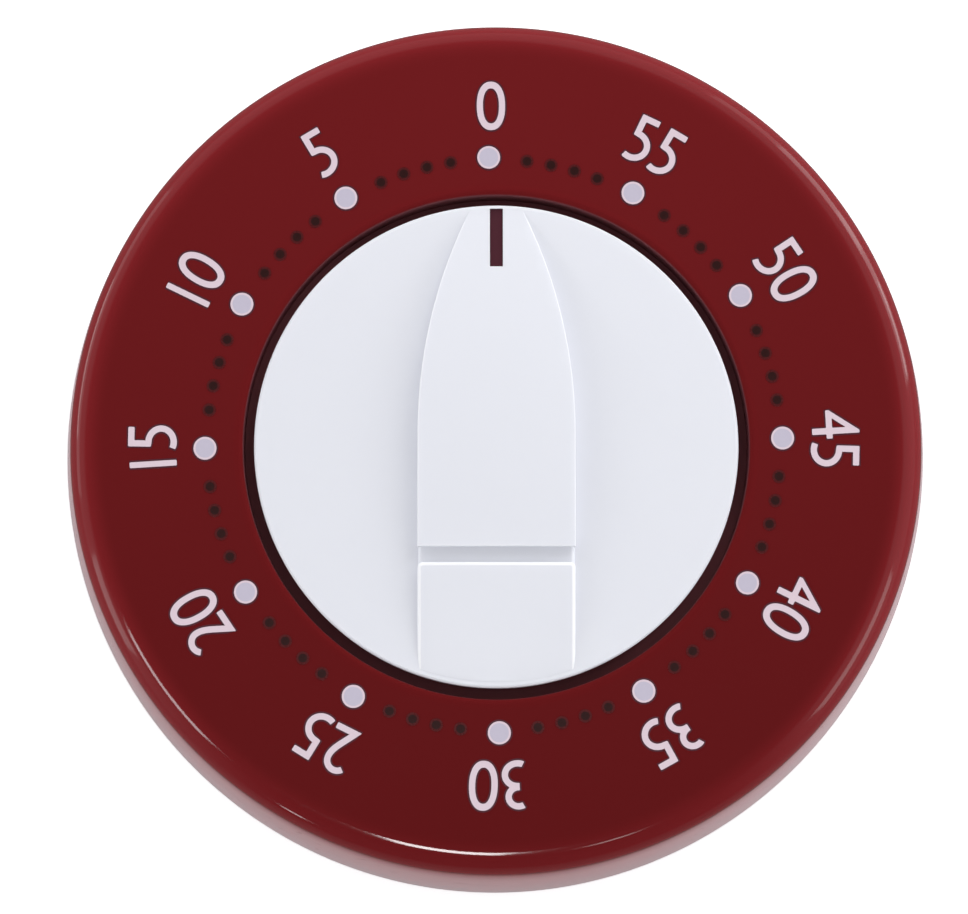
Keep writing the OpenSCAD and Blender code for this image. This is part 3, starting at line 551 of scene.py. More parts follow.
def mix_over(nds, links, shader, colour, mask):
    """Lays a colour over what is already linked to Base Color."""
    under = shader.inputs["Base Color"].links[0].from_socket
    mix = nds.new("ShaderNodeMix")
    mix.data_type = "RGBA"
    mix.inputs["B"].default_value = (*colour, 1)
    links.new(under, mix.inputs["A"])
    links.new(mask, mix.inputs["Factor"])
    links.new(mix.outputs["Result"], shader.inputs["Base Color"])


def radius_and_height(nds, links):
    """Distance from the dial's axis, distance along y, and height above the table."""
    split = nds.new("ShaderNodeSeparateXYZ")
    flat = nds.new("ShaderNodeVectorMath")
    flat.operation = "MULTIPLY"
    flat.inputs[1].default_value = (1, 1, 0)
    out = nds.new("ShaderNodeVectorMath")
    out.operation = "LENGTH"
    place = object_place(nds)
    links.new(place, split.inputs[0])
    links.new(place, flat.inputs[0])
    links.new(flat.outputs[0], out.inputs[0])
    return out.outputs["Value"], split.outputs["Y"], split.outputs["Z"]


def times(nds, links, a, b):
    node = nds.new("ShaderNodeMath")
    node.operation = "MULTIPLY"
    links.new(a, node.inputs[0])
    links.new(b, node.inputs[1])
    return node.outputs[0]


def red_gloss(name, rough, gloss_level):
    """Deep red gloss with painted shade to the near side, painted light round the shoulder and
    wall, and paler painted light, dull, inside the well.
    """
    mat = plastic(name, RED_LOW, RED_HIGH, rough, rough + 0.04, 0.004 * MM, 0.10,
                  gloss_level=gloss_level)
    nds, links = mat.node_tree.nodes, mat.node_tree.links
    shader = nds["Principled BSDF"]
    radius, along, height = radius_and_height(nds, links)
    # painted shade: the red grows darker towards the near side
    mix_over(nds, links, shader, RED_NEAR_PAINTED_SHADE, mask_between(nds, links, along, CUP_R, -CUP_R))
    # painted light: a lighter red round the shoulder, with less of it on the near side
    share = spread(nds, links, mask_between(nds, links, along, *SHOULDER_LIGHT_Y),
                   *SHOULDER_LIGHT_SHARE)
    shoulder = mask_between(nds, links, radius, *SHOULDER_LIGHT_R)
    mix_over(nds, links, shader, RED_SHOULDER_PAINTED_LIGHT, times(nds, links, shoulder, share))
    # painted light: a lighter red down the wall
    mix_over(nds, links, shader, RED_WALL_PAINTED_LIGHT, mask_between(nds, links, height, *WALL_LIGHT_Z))
    # painted light: a paler red in the shade inside the well
    inside = times(nds, links, mask_between(nds, links, radius, *WELL_LIGHT_R),
                   mask_between(nds, links, height, *WELL_LIGHT_Z))
    mix_over(nds, links, shader, RED_WELL_PAINTED_LIGHT, inside)
    return mat


def let_light_in(mat, weight, depth):
    """Light spreads a little way under the surface, as in pale plastic."""
    shader = mat.node_tree.nodes["Principled BSDF"]
    shader.inputs["Subsurface Weight"].default_value = weight
    shader.inputs["Subsurface Radius"].default_value = (1, 1, 1)
    shader.inputs["Subsurface Scale"].default_value = depth


def metal(name, low, high, rough_low, rough_high, grain_scale=900.0):
    mat, nds, links, shader = new_material(name)
    worked = use_group(nds, METAL, Grain_Scale=grain_scale)
    shader.inputs["Metallic"].default_value = 1.0
    links.new(mix_colour(nds, links, worked.outputs["Blotch"], low, high),
              shader.inputs["Base Color"])
    links.new(spread(nds, links, worked.outputs["Grain"], rough_low, rough_high),
              shader.inputs["Roughness"])
    bump(nds, links, shader, worked.outputs["Grain"], 0.002 * MM)
    return mat


def ink(name, low, high, roughness):
    mat, nds, links, shader = new_material(name)
    skin = use_group(nds, MOULDED, Wave_Scale=600.0, Skin_Scale=4200.0, Skin_Share=0.6)
    links.new(mix_colour(nds, links, skin.outputs["Tone"], low, high),
              shader.inputs["Base Color"])
    links.new(spread(nds, links, skin.outputs["Tone"], roughness - 0.05, roughness + 0.05),
              shader.inputs["Roughness"])
    shader.inputs["Specular IOR Level"].default_value = 0.25
    bump(nds, links, shader, skin.outputs["Height"], 0.003 * MM)
    return mat


RED_LOW, RED_HIGH = (0.148, 0.0104, 0.0120), (0.160, 0.0114, 0.0132)
# painted shade on the near side, and painted light round the shoulder, down the wall and in the
# shade of the well
RED_NEAR_PAINTED_SHADE = (0.116, 0.0084, 0.0094)
RED_SHOULDER_PAINTED_LIGHT = (0.213, 0.0155, 0.0190)
RED_WALL_PAINTED_LIGHT = (0.25, 0.0150, 0.0180)
RED_WELL_PAINTED_LIGHT = (0.26, 0.090, 0.100)
RED_GLOSS = red_gloss("red_gloss_moulding", 0.06, 0.3)
RED_LIP = red_gloss("red_worn_lip", 0.35, 0.0)
WHITE_GLOSS = plastic("white_soft_gloss_moulding", (0.778, 0.790, 0.838), (0.800, 0.812, 0.856),
                      0.40, 0.46, 0.003 * MM, 0.08, gloss_level=0.3)
# painted highlight: a paler white for the rounded top edges of the relief
WHITE_EDGE_PAINTED_HIGHLIGHT = plastic("white_soft_gloss_painted_edge_highlight", (0.89, 0.896, 0.925), (0.91, 0.916, 0.94),
                     0.40, 0.46, 0.003 * MM, 0.08, gloss_level=0.3)
for white in (WHITE_GLOSS, WHITE_EDGE_PAINTED_HIGHLIGHT):
    let_light_in(white, 0.35, 0.5 * MM)
BLACK_MOULDING = plastic("black_grained_moulding", (0.016, 0.016, 0.018), (0.026, 0.026, 0.028),
                         0.42, 0.55, 0.02 * MM, 0.15, 400.0, 2600.0, 0.8)
RUBBER = plastic("black_rubber", (0.022, 0.022, 0.022), (0.040, 0.039, 0.038),
                 0.72, 0.85, 0.02 * MM, 0.05, 300.0, 3200.0, 1.0)
STEEL = metal("turned_steel", (0.50, 0.51, 0.53), (0.60, 0.61, 0.62), 0.20, 0.36)
BLUED_STEEL = metal("blued_spring_steel", (0.10, 0.13, 0.22), (0.26, 0.28, 0.34), 0.25, 0.40)
NICKEL = metal("nickel_plate", (0.62, 0.60, 0.56), (0.70, 0.68, 0.64), 0.10, 0.22, 500.0)
BRASS = metal("stamped_brass", (0.58, 0.40, 0.14), (0.72, 0.52, 0.22), 0.22, 0.38)
NUMERAL_INK = ink("white_numeral_ink", (0.70, 0.57, 0.63), (0.74, 0.61, 0.67), 0.32)
DOT_INK = ink("grey_white_dot_ink", (0.53, 0.49, 0.59), (0.56, 0.52, 0.62), 0.32)
NUMBER_BLEED = ink("dark_number_bleed", (0.074, 0.0160, 0.0250), (0.086, 0.0190, 0.0290), 0.30)
DARK_INK = ink("dark_dot_ink", (0.024, 0.0060, 0.0058), (0.032, 0.0075, 0.0070), 0.30)
BLEED_INK = ink("dark_ink_bleed", (0.074, 0.0085, 0.0095), (0.086, 0.0095, 0.0105), 0.28)
INDEX_INK = ink("dark_red_index_ink", (0.064, 0.0095, 0.0190), (0.078, 0.0120, 0.0225), 0.45)

SLOT_MATERIALS = {
    "red_plastic": RED_GLOSS, "white_plastic": WHITE_GLOSS, "black_plastic": BLACK_MOULDING,
    "rubber": RUBBER, "steel": STEEL, "spring_steel": BLUED_STEEL, "gong_steel": NICKEL,
    "brass": BRASS}


def finish_cad_nodes():
    """Every CAD node gets the finish of its material slot in the record."""
    for part in frame["record"]["subparts"]:
        node = nodes[part["node"]]
        node.data.materials.clear()
        node.data.materials.append(SLOT_MATERIALS[part["material_slot"]])


# ---------------------------------------------------------------- modelling helpers

def deselect():
    if bpy.context.object and bpy.context.object.mode != "OBJECT":
        bpy.ops.object.mode_set(mode="OBJECT")
    bpy.ops.object.select_all(action="DESELECT")


def only(obj):
    deselect()
    obj.select_set(True)
    bpy.context.view_layer.objects.active = obj


def place_in_mesh(obj):
    """Moves the object's place into its mesh, so that the object sits at the origin."""
    only(obj)
    bpy.ops.object.transform_apply(location=True, rotation=True, scale=True)


def add_box(name, low, high):
    deselect()
    low, high = Vector(low), Vector(high)
    bpy.ops.mesh.primitive_cube_add(size=1, location=(low + high) / 2, scale=high - low)
    obj = bpy.context.object
    obj.name = name
    place_in_mesh(obj)
    return obj


def add_cylinder(name, radius, z0, z1, sides=FINE_SIDES, centre=(0, 0)):
    deselect()
    bpy.ops.mesh.primitive_cylinder_add(
        vertices=sides, radius=radius, depth=z1 - z0,
        location=(centre[0], centre[1], (z0 + z1) / 2))
    obj = bpy.context.object
    obj.name = name
    place_in_mesh(obj)
    return obj


def combine(obj, other, operation):
    """Boolean of two solids; the second one is used up."""
    only(obj)
    step = obj.modifiers.new("step", "BOOLEAN")
    step.operation = operation
    step.solver = "EXACT"
    step.object = other
    bpy.ops.object.modifier_apply(modifier=step.name)
    bpy.data.objects.remove(other)
    return obj


def select_edges(obj, test):
    """Edit mode with the edges selected whose two ends pass the test."""
    only(obj)
    bpy.ops.object.mode_set(mode="EDIT")
    bpy.ops.mesh.select_mode(type="EDGE")
    bpy.ops.mesh.select_all(action="DESELECT")
    bpy.ops.object.mode_set(mode="OBJECT")
    mesh = obj.data
    for edge in mesh.edges:
        a, b = (mesh.vertices[i].co for i in edge.vertices)
        edge.select = test(a, b)
    bpy.ops.object.mode_set(mode="EDIT")


def round_selected(width, segments, material=-1):
    bpy.ops.mesh.bevel(offset=width, segments=segments, affect="EDGES", clamp_overlap=True,
                       material=material)
    bpy.ops.object.mode_set(mode="OBJECT")


def smooth(obj):
    only(obj)
    bpy.ops.object.shade_smooth_by_angle(angle=SMOOTH_ANGLE)


def attach(obj, body, slot_name, *replaced):
    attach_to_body(obj, body)
    if replaced:
        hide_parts(*replaced)


def dress(obj, mat, body, slot_name, *replaced):
    obj.data.materials.clear()
    obj.data.materials.append(mat)
    attach(obj, body, slot_name, *replaced)


# ---------------------------------------------------------------- dial cup

def turned_arc(centre, radius, start, end, steps):
    return [(centre[0] + radius * math.cos(start + (end - start) * k / steps),
             centre[1] + radius * math.sin(start + (end - start) * k / steps))
            for k in range(steps + 1)]


def cup_profile():
    """The cup's section: well, lip, flat face, shoulder, long curved wall and its inside."""
    right = math.pi / 2
    bow = (CUP_R - WALL_ARC_R * math.cos(FOOT_LEAN), CUP_LOW.z - WALL_ARC_R * math.sin(FOOT_LEAN))
    turn_z = FACE_Z - SHOULDER_R
    reach = WALL_ARC_R - SHOULDER_R
    turn = (bow[0] + math.sqrt(reach ** 2 - (turn_z - bow[1]) ** 2), turn_z)
    lean = math.asin((turn_z - bow[1]) / reach)
    inner_foot = math.asin((CUP_LOW.z - bow[1]) / (WALL_ARC_R - CUP_WALL))
    points = [(HUB_HOLE_R, WELL_UNDER_Z), (HUB_HOLE_R, WELL_FLOOR_Z), (WELL_R, WELL_FLOOR_Z)]
    points += turned_arc((WELL_R + LIP_R, FACE_Z - LIP_R), LIP_R, 2 * right, right, 10)
    points += [(WELL_R + LIP_R + LIP_EDGE, FACE_Z)]
    points += turned_arc(turn, SHOULDER_R, right, lean, 28)
    points += turned_arc(bow, WALL_ARC_R, lean, FOOT_LEAN, 28)[1:]
    points += turned_arc(bow, WALL_ARC_R - CUP_WALL, inner_foot, lean, 14)
    points += turned_arc(turn, SHOULDER_R - CUP_WALL, lean, right, 4)[1:]
    points += [(WELL_R + WELL_WALL, FACE_Z - CUP_WALL), (WELL_R + WELL_WALL, WELL_UNDER_Z)]
    return points


def turned(name, profile):
    """A solid turned about the dial's axis from a closed section."""
    curve = bpy.data.curves.new(name, "CURVE")
    curve.dimensions = "3D"
    line = curve.splines.new("POLY")
    line.points.add(len(profile) - 1)
    for k, (r, z) in enumerate(profile):
        line.points[k].co = (r, 0, z, 1)
    line.use_cyclic_u = True
    obj = bpy.data.objects.new(name, curve)
    bpy.context.scene.collection.objects.link(obj)
    only(obj)
    bpy.ops.object.convert(target="MESH")
    obj = bpy.context.object
    turn = obj.modifiers.new("turn", "SCREW")
    turn.steps = turn.render_steps = TURN_STEPS
    turn.use_merge_vertices = True
    turn.merge_threshold = 1e-7
    bpy.ops.object.modifier_apply(modifier=turn.name)
    bpy.ops.object.mode_set(mode="EDIT")
    bpy.ops.mesh.select_all(action="SELECT")
    bpy.ops.mesh.remove_doubles(threshold=1e-7)
    bpy.ops.mesh.normals_make_consistent(inside=False)
    bpy.ops.object.mode_set(mode="OBJECT")
    return obj


def make_cup():
    cup = turned("dial_cup_dressed", cup_profile())
    cup.data.materials.append(RED_GLOSS)
    cup.data.materials.append(RED_LIP)
    for side in BUSH_SIDES:
        a = math.radians(side)
        centre = (BUSH_RING * math.cos(a), BUSH_RING * math.sin(a))
        bush = add_cylinder("bush", BUSH_R, BUSH_Z, BUSH_TOP_Z, BUSH_FACETS, centre)
        hole = add_cylinder("hole", BUSH_HOLE_R, BUSH_Z - PAST, BUSH_HOLE_Z, HOLE_FACETS, centre)
        combine(bush, hole, "DIFFERENCE")
        combine(cup, bush, "UNION")
    lug = add_box("lug", LUG_LOW, LUG_HIGH)
    lug.data.transform(Matrix.Rotation(LUG_SIDE, 4, "Z"))
    combine(cup, lug, "UNION")
    smooth(cup)
    for face in cup.data.polygons:
        out = math.hypot(face.center.x, face.center.y)
        if out < WELL_R + LIP_R + LIP_EDGE and face.center.z > WELL_UNDER_Z:
            face.material_index = 1
    attach(cup, "dial", "red_plastic", "dial_housing")


# ---------------------------------------------------------------- pointer disc

def dome_height(x, y):
    """Height of the shallow dome above the disc's face."""
    return math.sqrt(DOME_R ** 2 - x * x - y * y) - (DOME_R - RELIEF_H)


def dome_cap(name, lower):
    """The top of the ball that the relief's dome is cut from, lowered and closed underneath."""
    deselect()
    bpy.ops.mesh.primitive_uv_sphere_add(segments=192, ring_count=360, radius=DOME_R,
                                         location=(0, 0, DOME_TOP_Z - DOME_R - lower))
    cap = bpy.context.object
    cap.name = name
    place_in_mesh(cap)
    bpy.ops.object.mode_set(mode="EDIT")
    bpy.ops.mesh.select_all(action="SELECT")
    bpy.ops.mesh.bisect(plane_co=(0, 0, FACE_Z - CAP_DEPTH), plane_no=(0, 0, 1), use_fill=True,
                        clear_inner=True)
    bpy.ops.object.mode_set(mode="OBJECT")
    return cap


def flat_relief(name, y0, y1, half_w=POINTER_HALF_W):
    """A straight-sided block with a flat top, trimmed to the disc's rim."""
    form = add_box(name, (-half_w, y0, RELIEF_ROOT_Z), (half_w, y1, DOME_TOP_Z))
    give_whites(form)
    rim = add_cylinder("rim", DISC_R - RIM_ROUND, RELIEF_ROOT_Z - PAST, DOME_TOP_Z + PAST)
    return combine(form, rim, "INTERSECT")


def give_whites(obj):
    for white in (WHITE_GLOSS, WHITE_EDGE_PAINTED_HIGHLIGHT):
        obj.data.materials.append(white)


def use_plain_white(obj):
    for face in obj.data.polygons:
        face.material_index = 0


def narrow_to_tip(form):
    """Cuts the pointer's two long curved sides."""
    for side in (-1, 1):
        curve = add_cylinder("curve", OGIVE_R, RELIEF_ROOT_Z - PAST, DOME_TOP_Z + PAST,
                             OGIVE_SIDES, (side * (POINTER_HALF_W - OGIVE_R), OGIVE_Y))
        below = add_box("below", (-2 * POINTER_HALF_W, -DISC_R, RELIEF_ROOT_Z - PAST),
                        (2 * POINTER_HALF_W, OGIVE_Y, DOME_TOP_Z + PAST))
        combine(curve, below, "UNION")
        combine(form, curve, "INTERSECT")


def lay_on_dome(form, drop=0.0):
    """Cuts the block into a fine grid and lowers its top on to the dome, or by drop below it.

    The rounded edge is lowered with it as it is, and runs out where the dome meets the face.
    """
    only(form)
    bpy.ops.object.mode_set(mode="EDIT")
    steps = int(DISC_R / GRID_STEP) + 1
    for axis in (0, 1):
        normal = (1, 0, 0) if axis == 0 else (0, 1, 0)
        for k in range(-steps, steps + 1):
            bpy.ops.mesh.select_all(action="SELECT")
            at = (k + 0.37) * GRID_STEP
            bpy.ops.mesh.bisect(plane_co=(at, at, 0), plane_no=normal)
    bpy.ops.object.mode_set(mode="OBJECT")
    for v in form.data.vertices:
        if v.co.z > FACE_Z:
            v.co.z -= RELIEF_H - dome_height(v.co.x, v.co.y) + drop


def round_top(form, width):
    """Rounds the top edges, which catch the light, and gives them a paler white as a painted
    highlight, save on the side that faces the pad.
    """
    select_edges(form, lambda a, b: min(a.z, b.z) > DOME_TOP_Z - SAME_PLACE)
    round_selected(width, 5, material=1)
    for face in form.data.polygons:
        at_rim = math.hypot(face.center.x, face.center.y) > DISC_R - 2 * width - RIM_ROUND
        if at_rim or face.normal.y < -0.1 and face.center.y > -DISC_R / 2:
            face.material_index = 0


def make_hub_and_ribs():
    """The hub with its flatted bore and the three ribs across the underside."""
    top = DISC_UNDER_Z + HUB_SINK
    reach = DISC_R - RIB_END_GAP
    hub = add_cylinder("hub", HUB_R, DISC_LOW.z, top, HUB_SIDES)
    for k in range(3):
        rib = add_box("rib", (-reach, -RIB_W / 2, DISC_SKIRT_Z + RIB_LIFT),
                      (reach, RIB_W / 2, top))
        rib.data.transform(Matrix.Rotation(math.radians(30 + 60 * k), 4, "Z"))
        combine(hub, rib, "UNION")
    bore = add_cylinder("bore", BORE_R, DISC_LOW.z - PAST, DISC_UNDER_Z, HUB_SIDES)
    flat = add_box("flat", (-BORE_R - PAST, -BORE_R - PAST, DISC_LOW.z - 2 * PAST),
                   (BORE_R + PAST, BORE_FLAT, DISC_UNDER_Z + PAST))
    combine(bore, flat, "INTERSECT")
    return combine(hub, bore, "DIFFERENCE")


def make_pointer_disc():
    disc = add_cylinder("pointer_disc_dressed", DISC_R, DISC_SKIRT_Z, FACE_Z)
    give_whites(disc)
    select_edges(disc, lambda a, b: min(a.z, b.z) > FACE_Z - SAME_PLACE)
    round_selected(RIM_ROUND, 6)
    pocket = add_cylinder("pocket", DISC_R - SKIRT_WALL, DISC_SKIRT_Z - PAST, DISC_UNDER_Z)
    combine(disc, pocket, "DIFFERENCE")
    combine(disc, make_hub_and_ribs(), "UNION")

    pointer = flat_relief("pointer", POINTER_END_Y, DISC_R)
    narrow_to_tip(pointer)
    pad = flat_relief("pad", -DISC_R, PAD_Y)
    select_edges(pad, lambda a, b: abs(a.z - b.z) > MM and min(a.y, b.y) > PAD_Y - SAME_PLACE)
    round_selected(PAD_CORNER_R, 6)
    groove = flat_relief("groove", PAD_Y - GROOVE_OVERLAP, POINTER_END_Y + GROOVE_OVERLAP,
                         POINTER_HALF_W - GROOVE_SIDE_GAP)
    for form, edge_r, drop in ((pointer, POINTER_EDGE_R, 0), (pad, PAD_EDGE_R, 0),
                               (groove, PAD_EDGE_R, GROOVE_DEPTH)):
        round_top(form, edge_r)
        if form == groove:
            use_plain_white(form)
        lay_on_dome(form, drop)
        combine(disc, form, "UNION")

    slot = add_box("slot", (-INDEX_W / 2, INDEX_Y0, RELIEF_ROOT_Z),
                   (INDEX_W / 2, INDEX_Y1, DOME_TOP_Z + PAST))
    combine(slot, dome_cap("slot_floor", INDEX_DEPTH), "DIFFERENCE")
    combine(disc, slot, "DIFFERENCE")
    smooth(disc)
    attach(disc, "base", "white_plastic", "pointer_disc")


def make_index_line():
    """The painted floor of the slot at the pointer's tip."""
    half_w = INDEX_W / 2 - PAINT_GAP
    line = add_box("index_line", (-half_w, INDEX_Y0 + PAINT_GAP, RELIEF_ROOT_Z),
                   (half_w, INDEX_Y1 - PAINT_GAP, DOME_TOP_Z + PAST))
    combine(line, dome_cap("paint_under", INDEX_DEPTH + PAINT_THICK / 2), "DIFFERENCE")
    combine(line, dome_cap("paint_top", INDEX_DEPTH - PAINT_THICK), "INTERSECT")
    smooth(line)
    dress(line, INDEX_INK, "base", "white_plastic")


# ---------------------------------------------------------------- printing on the face

def arc(cx, cy, rx, ry, a0, a1, steps=24):
    return [(cx + rx * math.cos(math.radians(a0 + (a1 - a0) * k / steps)),
             cy + ry * math.sin(math.radians(a0 + (a1 - a0) * k / steps)))
            for k in range(steps + 1)]


def bezier(p0, p1, p2, p3, steps=16):
    points = []
    for k in range(steps + 1):
        t = k / steps
        w = ((1 - t) ** 3, 3 * t * (1 - t) ** 2, 3 * t * t * (1 - t), t ** 3)
        points.append(tuple(sum(w[i] * p[axis] for i, p in enumerate((p0, p1, p2, p3)))
                            for axis in (0, 1)))
    return points


def stroke(points, width=STROKE):
    """Outline of an even stroke along a path, with mitred corners and square ends."""
    path = [Vector(p) for k, p in enumerate(points)
            if k == 0 or (Vector(p) - Vector(points[k - 1])).length > 1e-6]
    left, right = [], []
    for k, p in enumerate(path):
        before = (p - path[k - 1]).normalized() if k else (path[1] - p).normalized()
        after = (path[k + 1] - p).normalized() if k + 1 < len(path) else before
        n0, n1 = Vector((-before.y, before.x)), Vector((-after.y, after.x))
        mitre = (n0 + n1).normalized()
        reach = width / 2 / max(0.2, mitre.dot(n0))
        left.append(p + mitre * reach)
        right.append(p - mitre * reach)
    return [tuple(p) for p in left + right[::-1]]


def superellipse(cx, cy, rx, ry, power=2.25, steps=64):
    points = []
    for k in range(steps):
        a = 2 * math.pi * k / steps
        c, s = math.cos(a), math.sin(a)
        points.append((cx + rx * math.copysign(abs(c) ** (2 / power), c),
                       cy + ry * math.copysign(abs(s) ** (2 / power), s)))
    return points


def in_ellipse(p, cx, cy, rx, ry):
    return ((p[0] - cx) / rx) ** 2 + ((p[1] - cy) / ry) ** 2 < 1


def three_outline():
    """Two bowls that meet in a short blunt nib at the waist."""
    h = STROKE / 2
    up, low = (0.71, 3.04, 0.85, 0.80), (0.71, 1.19, 1.06, 0.95)
    upper_out = arc(up[0], up[1], up[2] + h, up[3] + h, 118, -90, 40)
    lower_out = arc(low[0], low[1], low[2] + h, low[3] + h, 90, -118, 40)
    outer = [p for p in upper_out if not in_ellipse(p, low[0], low[1], low[2] + h, low[3] + h)]
    outer += [p for p in lower_out if not in_ellipse(p, up[0], up[1], up[2] + h, up[3] + h)]
    inner = arc(low[0], low[1], low[2] - h, low[3] - h, -118, 88, 40)
    nib = [(0.58, low[1] + low[3] - h), (0.58, up[1] - up[3] + h)]
    inner_up = arc(up[0], up[1], up[2] - h, up[3] - h, -88, 118, 40)
    return outer + inner + nib + inner_up


def digit_outlines():
    h = STROKE / 2
    foot = 0.07 + h
    two = arc(0.93, 2.98, 0.86, 0.87, 142, 0)
    two += bezier((1.79, 2.98), (1.79, 2.22), (1.3, 1.65), (0.55, foot)) + [(2.3, foot)]
    five = [(2.06, 4.12 - h), (0.40 + h, 4.12 - h), (0.40 + h, 2.42)]
    five += arc(0.80, 1.33, 1.15, 1.07, 90, -116)
    stem_l, stem_r, bar_low, bar_top = 1.51, 2.04, 1.34, 1.85
    four = [(stem_l, 0.13), (stem_r, 0.13), (stem_r, bar_low), (2.42, bar_low),
            (2.42, bar_top), (stem_r, bar_top), (stem_r, 4.15), (1.80, 4.15), (0, 1.62),
            (0, bar_low), (stem_l, bar_low)]
    four_eye = [(stem_l, bar_top), (0.69, bar_top), (stem_l, 3.00)]
    return {
        "0": [superellipse(1.21, 2.06, 1.21, 2.09), superellipse(1.21, 2.06, 0.68, 1.51)],
        "1": [[(0, 0.05), (0.49, 0.05), (0.49, 4.03), (0, 4.03)]],
        "2": [stroke(two)],
        "3": [three_outline()],
        "4": [four, four_eye],
        "5": [stroke(five)]}


def ease_corners(points, reach=0.1):
    """Rounds the sharp corners of a closed outline a little."""
    eased = []
    for k, point in enumerate(points):
        p = Vector(point)
        u, v = Vector(points[k - 1]) - p, Vector(points[(k + 1) % len(points)]) - p
        if min(u.length, v.length) < 1e-6 or u.angle(v) > math.radians(140):
            eased.append(tuple(p))
            continue
        start = p + u.normalized() * min(reach, u.length / 2)
        end = p + v.normalized() * min(reach, v.length / 2)
        for t in (0, 0.33, 0.67, 1):
            eased.append(tuple((1 - t) ** 2 * start + 2 * t * (1 - t) * p + t * t * end))
    return eased


def spread_outline(points, reach):
    """Moves a closed outline outwards by reach, or inwards where reach is negative."""
    area = sum(a[0] * b[1] - b[0] * a[1] for a, b in zip(points, points[1:] + points[:1]))
    sign = 1 if area > 0 else -1
    moved = []
    for k, point in enumerate(points):
        along = Vector(points[(k + 1) % len(points)]) - Vector(points[k - 1])
        along.normalize()
        moved.append((point[0] + sign * reach * along.y, point[1] - sign * reach * along.x))
    return moved


def flat_shape(name, outlines, thickness):
    """A filled flat curve from closed outlines in metres, as thick as the ink, made a mesh."""
    deselect()
    curve = bpy.data.curves.new(name, "CURVE")
    curve.dimensions = "2D"
    curve.fill_mode = "BOTH"
    curve.extrude = thickness / 2
    for points in outlines:
        line = curve.splines.new("POLY")
        line.points.add(len(points) - 1)
        for k, (x, y) in enumerate(points):
            line.points[k].co = (x, y, 0, 1)
        line.use_cyclic_u = True
    obj = bpy.data.objects.new(name, curve)
    bpy.context.scene.collection.objects.link(obj)
    only(obj)
    bpy.ops.object.convert(target="MESH")
    obj = bpy.context.object
    bpy.ops.object.mode_set(mode="EDIT")
    bpy.ops.mesh.select_all(action="SELECT")
    bpy.ops.mesh.remove_doubles(threshold=1e-7)
    bpy.ops.mesh.normals_make_consistent(inside=False)
    bpy.ops.object.mode_set(mode="OBJECT")
    return obj


def copy_of(obj, name):
    other = obj.copy()
    other.data = obj.data.copy()
    other.name = name
    bpy.context.scene.collection.objects.link(other)
    return other


def join(parts, name):
    deselect()
    for p in parts:
        p.select_set(True)
    bpy.context.view_layer.objects.active = parts[0]
    bpy.ops.object.join()
    obj = bpy.context.object
    obj.name = name
    return obj


def on_face(obj, radius, degrees, centre_x=0.0):
    """Puts a flat shape on the face: its foot at a radius, turned to stand out from the centre."""
    lift = FACE_Z + PRINT_THICK / 2
    stand = Matrix.Translation((-centre_x, radius, 0))
    turn = Matrix.Rotation(math.radians(degrees - 90), 4, "Z")
    shift = Matrix.Translation((PRINT_SHIFT[0], PRINT_SHIFT[1], lift))
    obj.data.transform(shift @ turn @ stand)


def digit_shape(digit, rings):
    """A digit of white ink on a slightly wider, thinner film of dark bleed."""
    def in_metres(outline):
        return [(x * DIGIT_GROWTH * MM, y * DIGIT_GROWTH * MM) for x, y in outline]

    reach = BLEED / DIGIT_GROWTH / MM
    wide = [spread_outline(ring, reach if k == 0 else -reach) for k, ring in enumerate(rings)]
    white = flat_shape("ink", [in_metres(ease_corners(ring)) for ring in rings], PRINT_THICK)
    bleed = flat_shape("bleed", [in_metres(ring) for ring in wide], BLEED_THICK)
    bleed.data.transform(Matrix.Translation((0, 0, (BLEED_THICK - PRINT_THICK) / 2)))
    for obj, mat in ((white, NUMERAL_INK), (bleed, NUMBER_BLEED)):
        obj.data.materials.append(mat)
    return join([white, bleed], "digit_" + digit)


def make_numerals():
    masters = {d: digit_shape(d, rings) for d, rings in digit_outlines().items()}
    per_degree = math.radians(1) * NUMERAL_MID_R / MM / DIGIT_GROWTH
    for k, (text, shift, gap) in enumerate(NUMBERS):
        total = sum(DIGIT_WIDTHS[d] for d in text) + gap
        start, made = -total / 2, []
        for d in text:
            middle = start + DIGIT_WIDTHS[d] / 2
            start += DIGIT_WIDTHS[d] + gap
            digit = copy_of(masters[d], "part")
            on_face(digit, NUMERAL_FOOT_R, 90 + PRINT_TURN + 30 * k + shift - middle / per_degree,
                    DIGIT_WIDTHS[d] / 2 * DIGIT_GROWTH * MM)
            made.append(digit)
        attach(join(made, "number_" + text), "dial", "white_plastic")
    for m in masters.values():
        bpy.data.objects.remove(m)


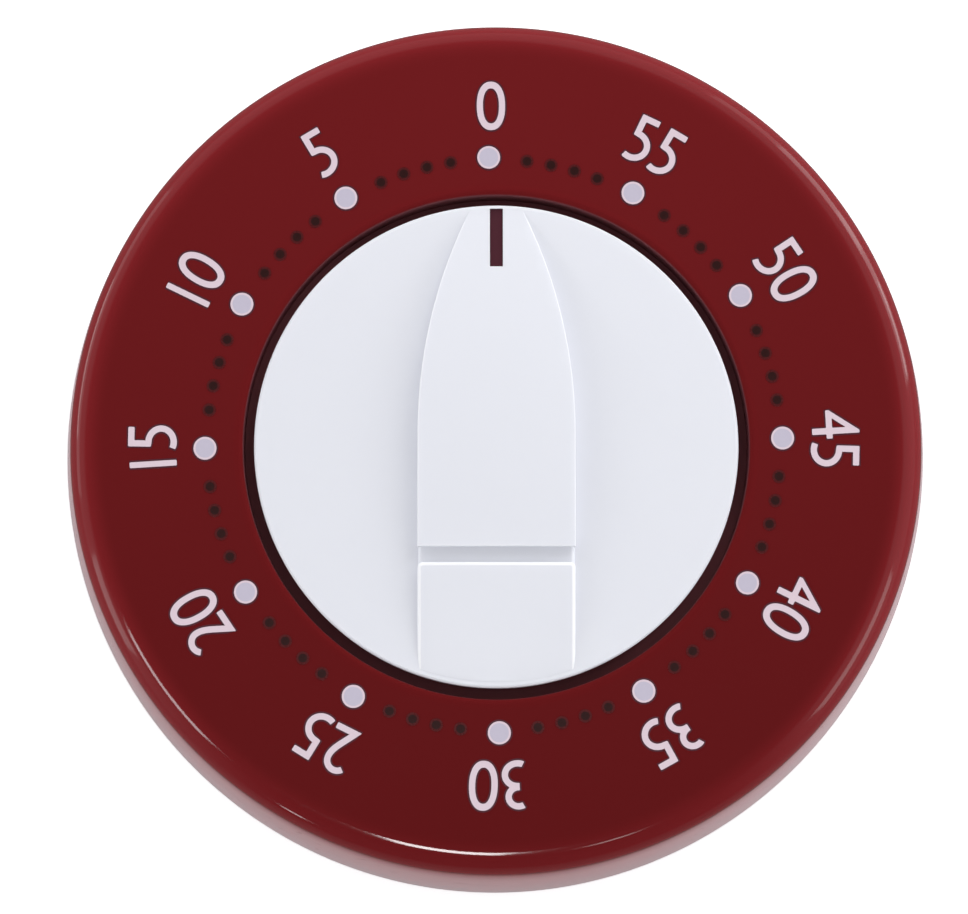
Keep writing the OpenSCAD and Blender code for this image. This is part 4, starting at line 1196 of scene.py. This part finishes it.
def round_dot(name, radius, sides, edge, inks):
    """A printed dot: a disc as thick as the ink, with its edge ring in a second ink."""
    deselect()
    bpy.ops.mesh.primitive_cylinder_add(vertices=sides, radius=radius, depth=PRINT_THICK)
    dot = bpy.context.object
    dot.name = name
    for m in inks:
        dot.data.materials.append(m)
    for face in dot.data.polygons:
        face.material_index = 1
    bpy.ops.object.mode_set(mode="EDIT")
    bpy.ops.mesh.select_mode(type="FACE")
    bpy.ops.mesh.select_all(action="DESELECT")
    bpy.ops.object.mode_set(mode="OBJECT")
    for face in dot.data.polygons:
        face.select = face.normal.z > 0.5
    bpy.ops.object.mode_set(mode="EDIT")
    bpy.ops.mesh.inset(thickness=edge)
    bpy.ops.object.mode_set(mode="OBJECT")
    for face in dot.data.polygons:
        if face.select:
            face.material_index = 0
    return dot


def scatter_dot(master, name, radius, angles, slot_name):
    """Copies of one dot round a ring, joined as one printed piece."""
    made = []
    for a in angles:
        dot = copy_of(master, "part")
        on_face(dot, radius, 90 + PRINT_TURN + a)
        made.append(dot)
    attach(join(made, name), "dial", slot_name)


def make_dots():
    white = round_dot("white", WHITE_DOT_R, 40, WHITE_DOT_EDGE, (DOT_INK, NUMERAL_INK))
    bleed = round_dot("bleed", WHITE_DOT_R + BLEED, 40, BLEED, (NUMBER_BLEED,) * 2)
    bleed.data.transform(Matrix.Translation((0, 0, BLEED_THICK - PRINT_THICK)))
    white = join([white, bleed], "white")
    dark = round_dot("dark", DARK_DOT_R, 28, DARK_DOT_EDGE, (DARK_INK, BLEED_INK))
    for k in range(12):
        scatter_dot(white, "white_dot_%02d" % (5 * k), WHITE_DOT_RING, [30 * k], "white_plastic")
        scatter_dot(dark, "minute_dots_%02d" % (5 * k), DARK_DOT_RING,
                    [30 * k + a for a in DARK_DOT_ANGLES], "black_plastic")
    for master in (white, dark):
        bpy.data.objects.remove(master)


# ---------------------------------------------------------------- build

make_camera()
make_surround()
make_lights()
make_floor()
bpy.context.scene.view_settings.view_transform = "Standard"
finish_cad_nodes()
make_cup()
make_pointer_disc()
make_index_line()
make_numerals()
make_dots()

deselect()
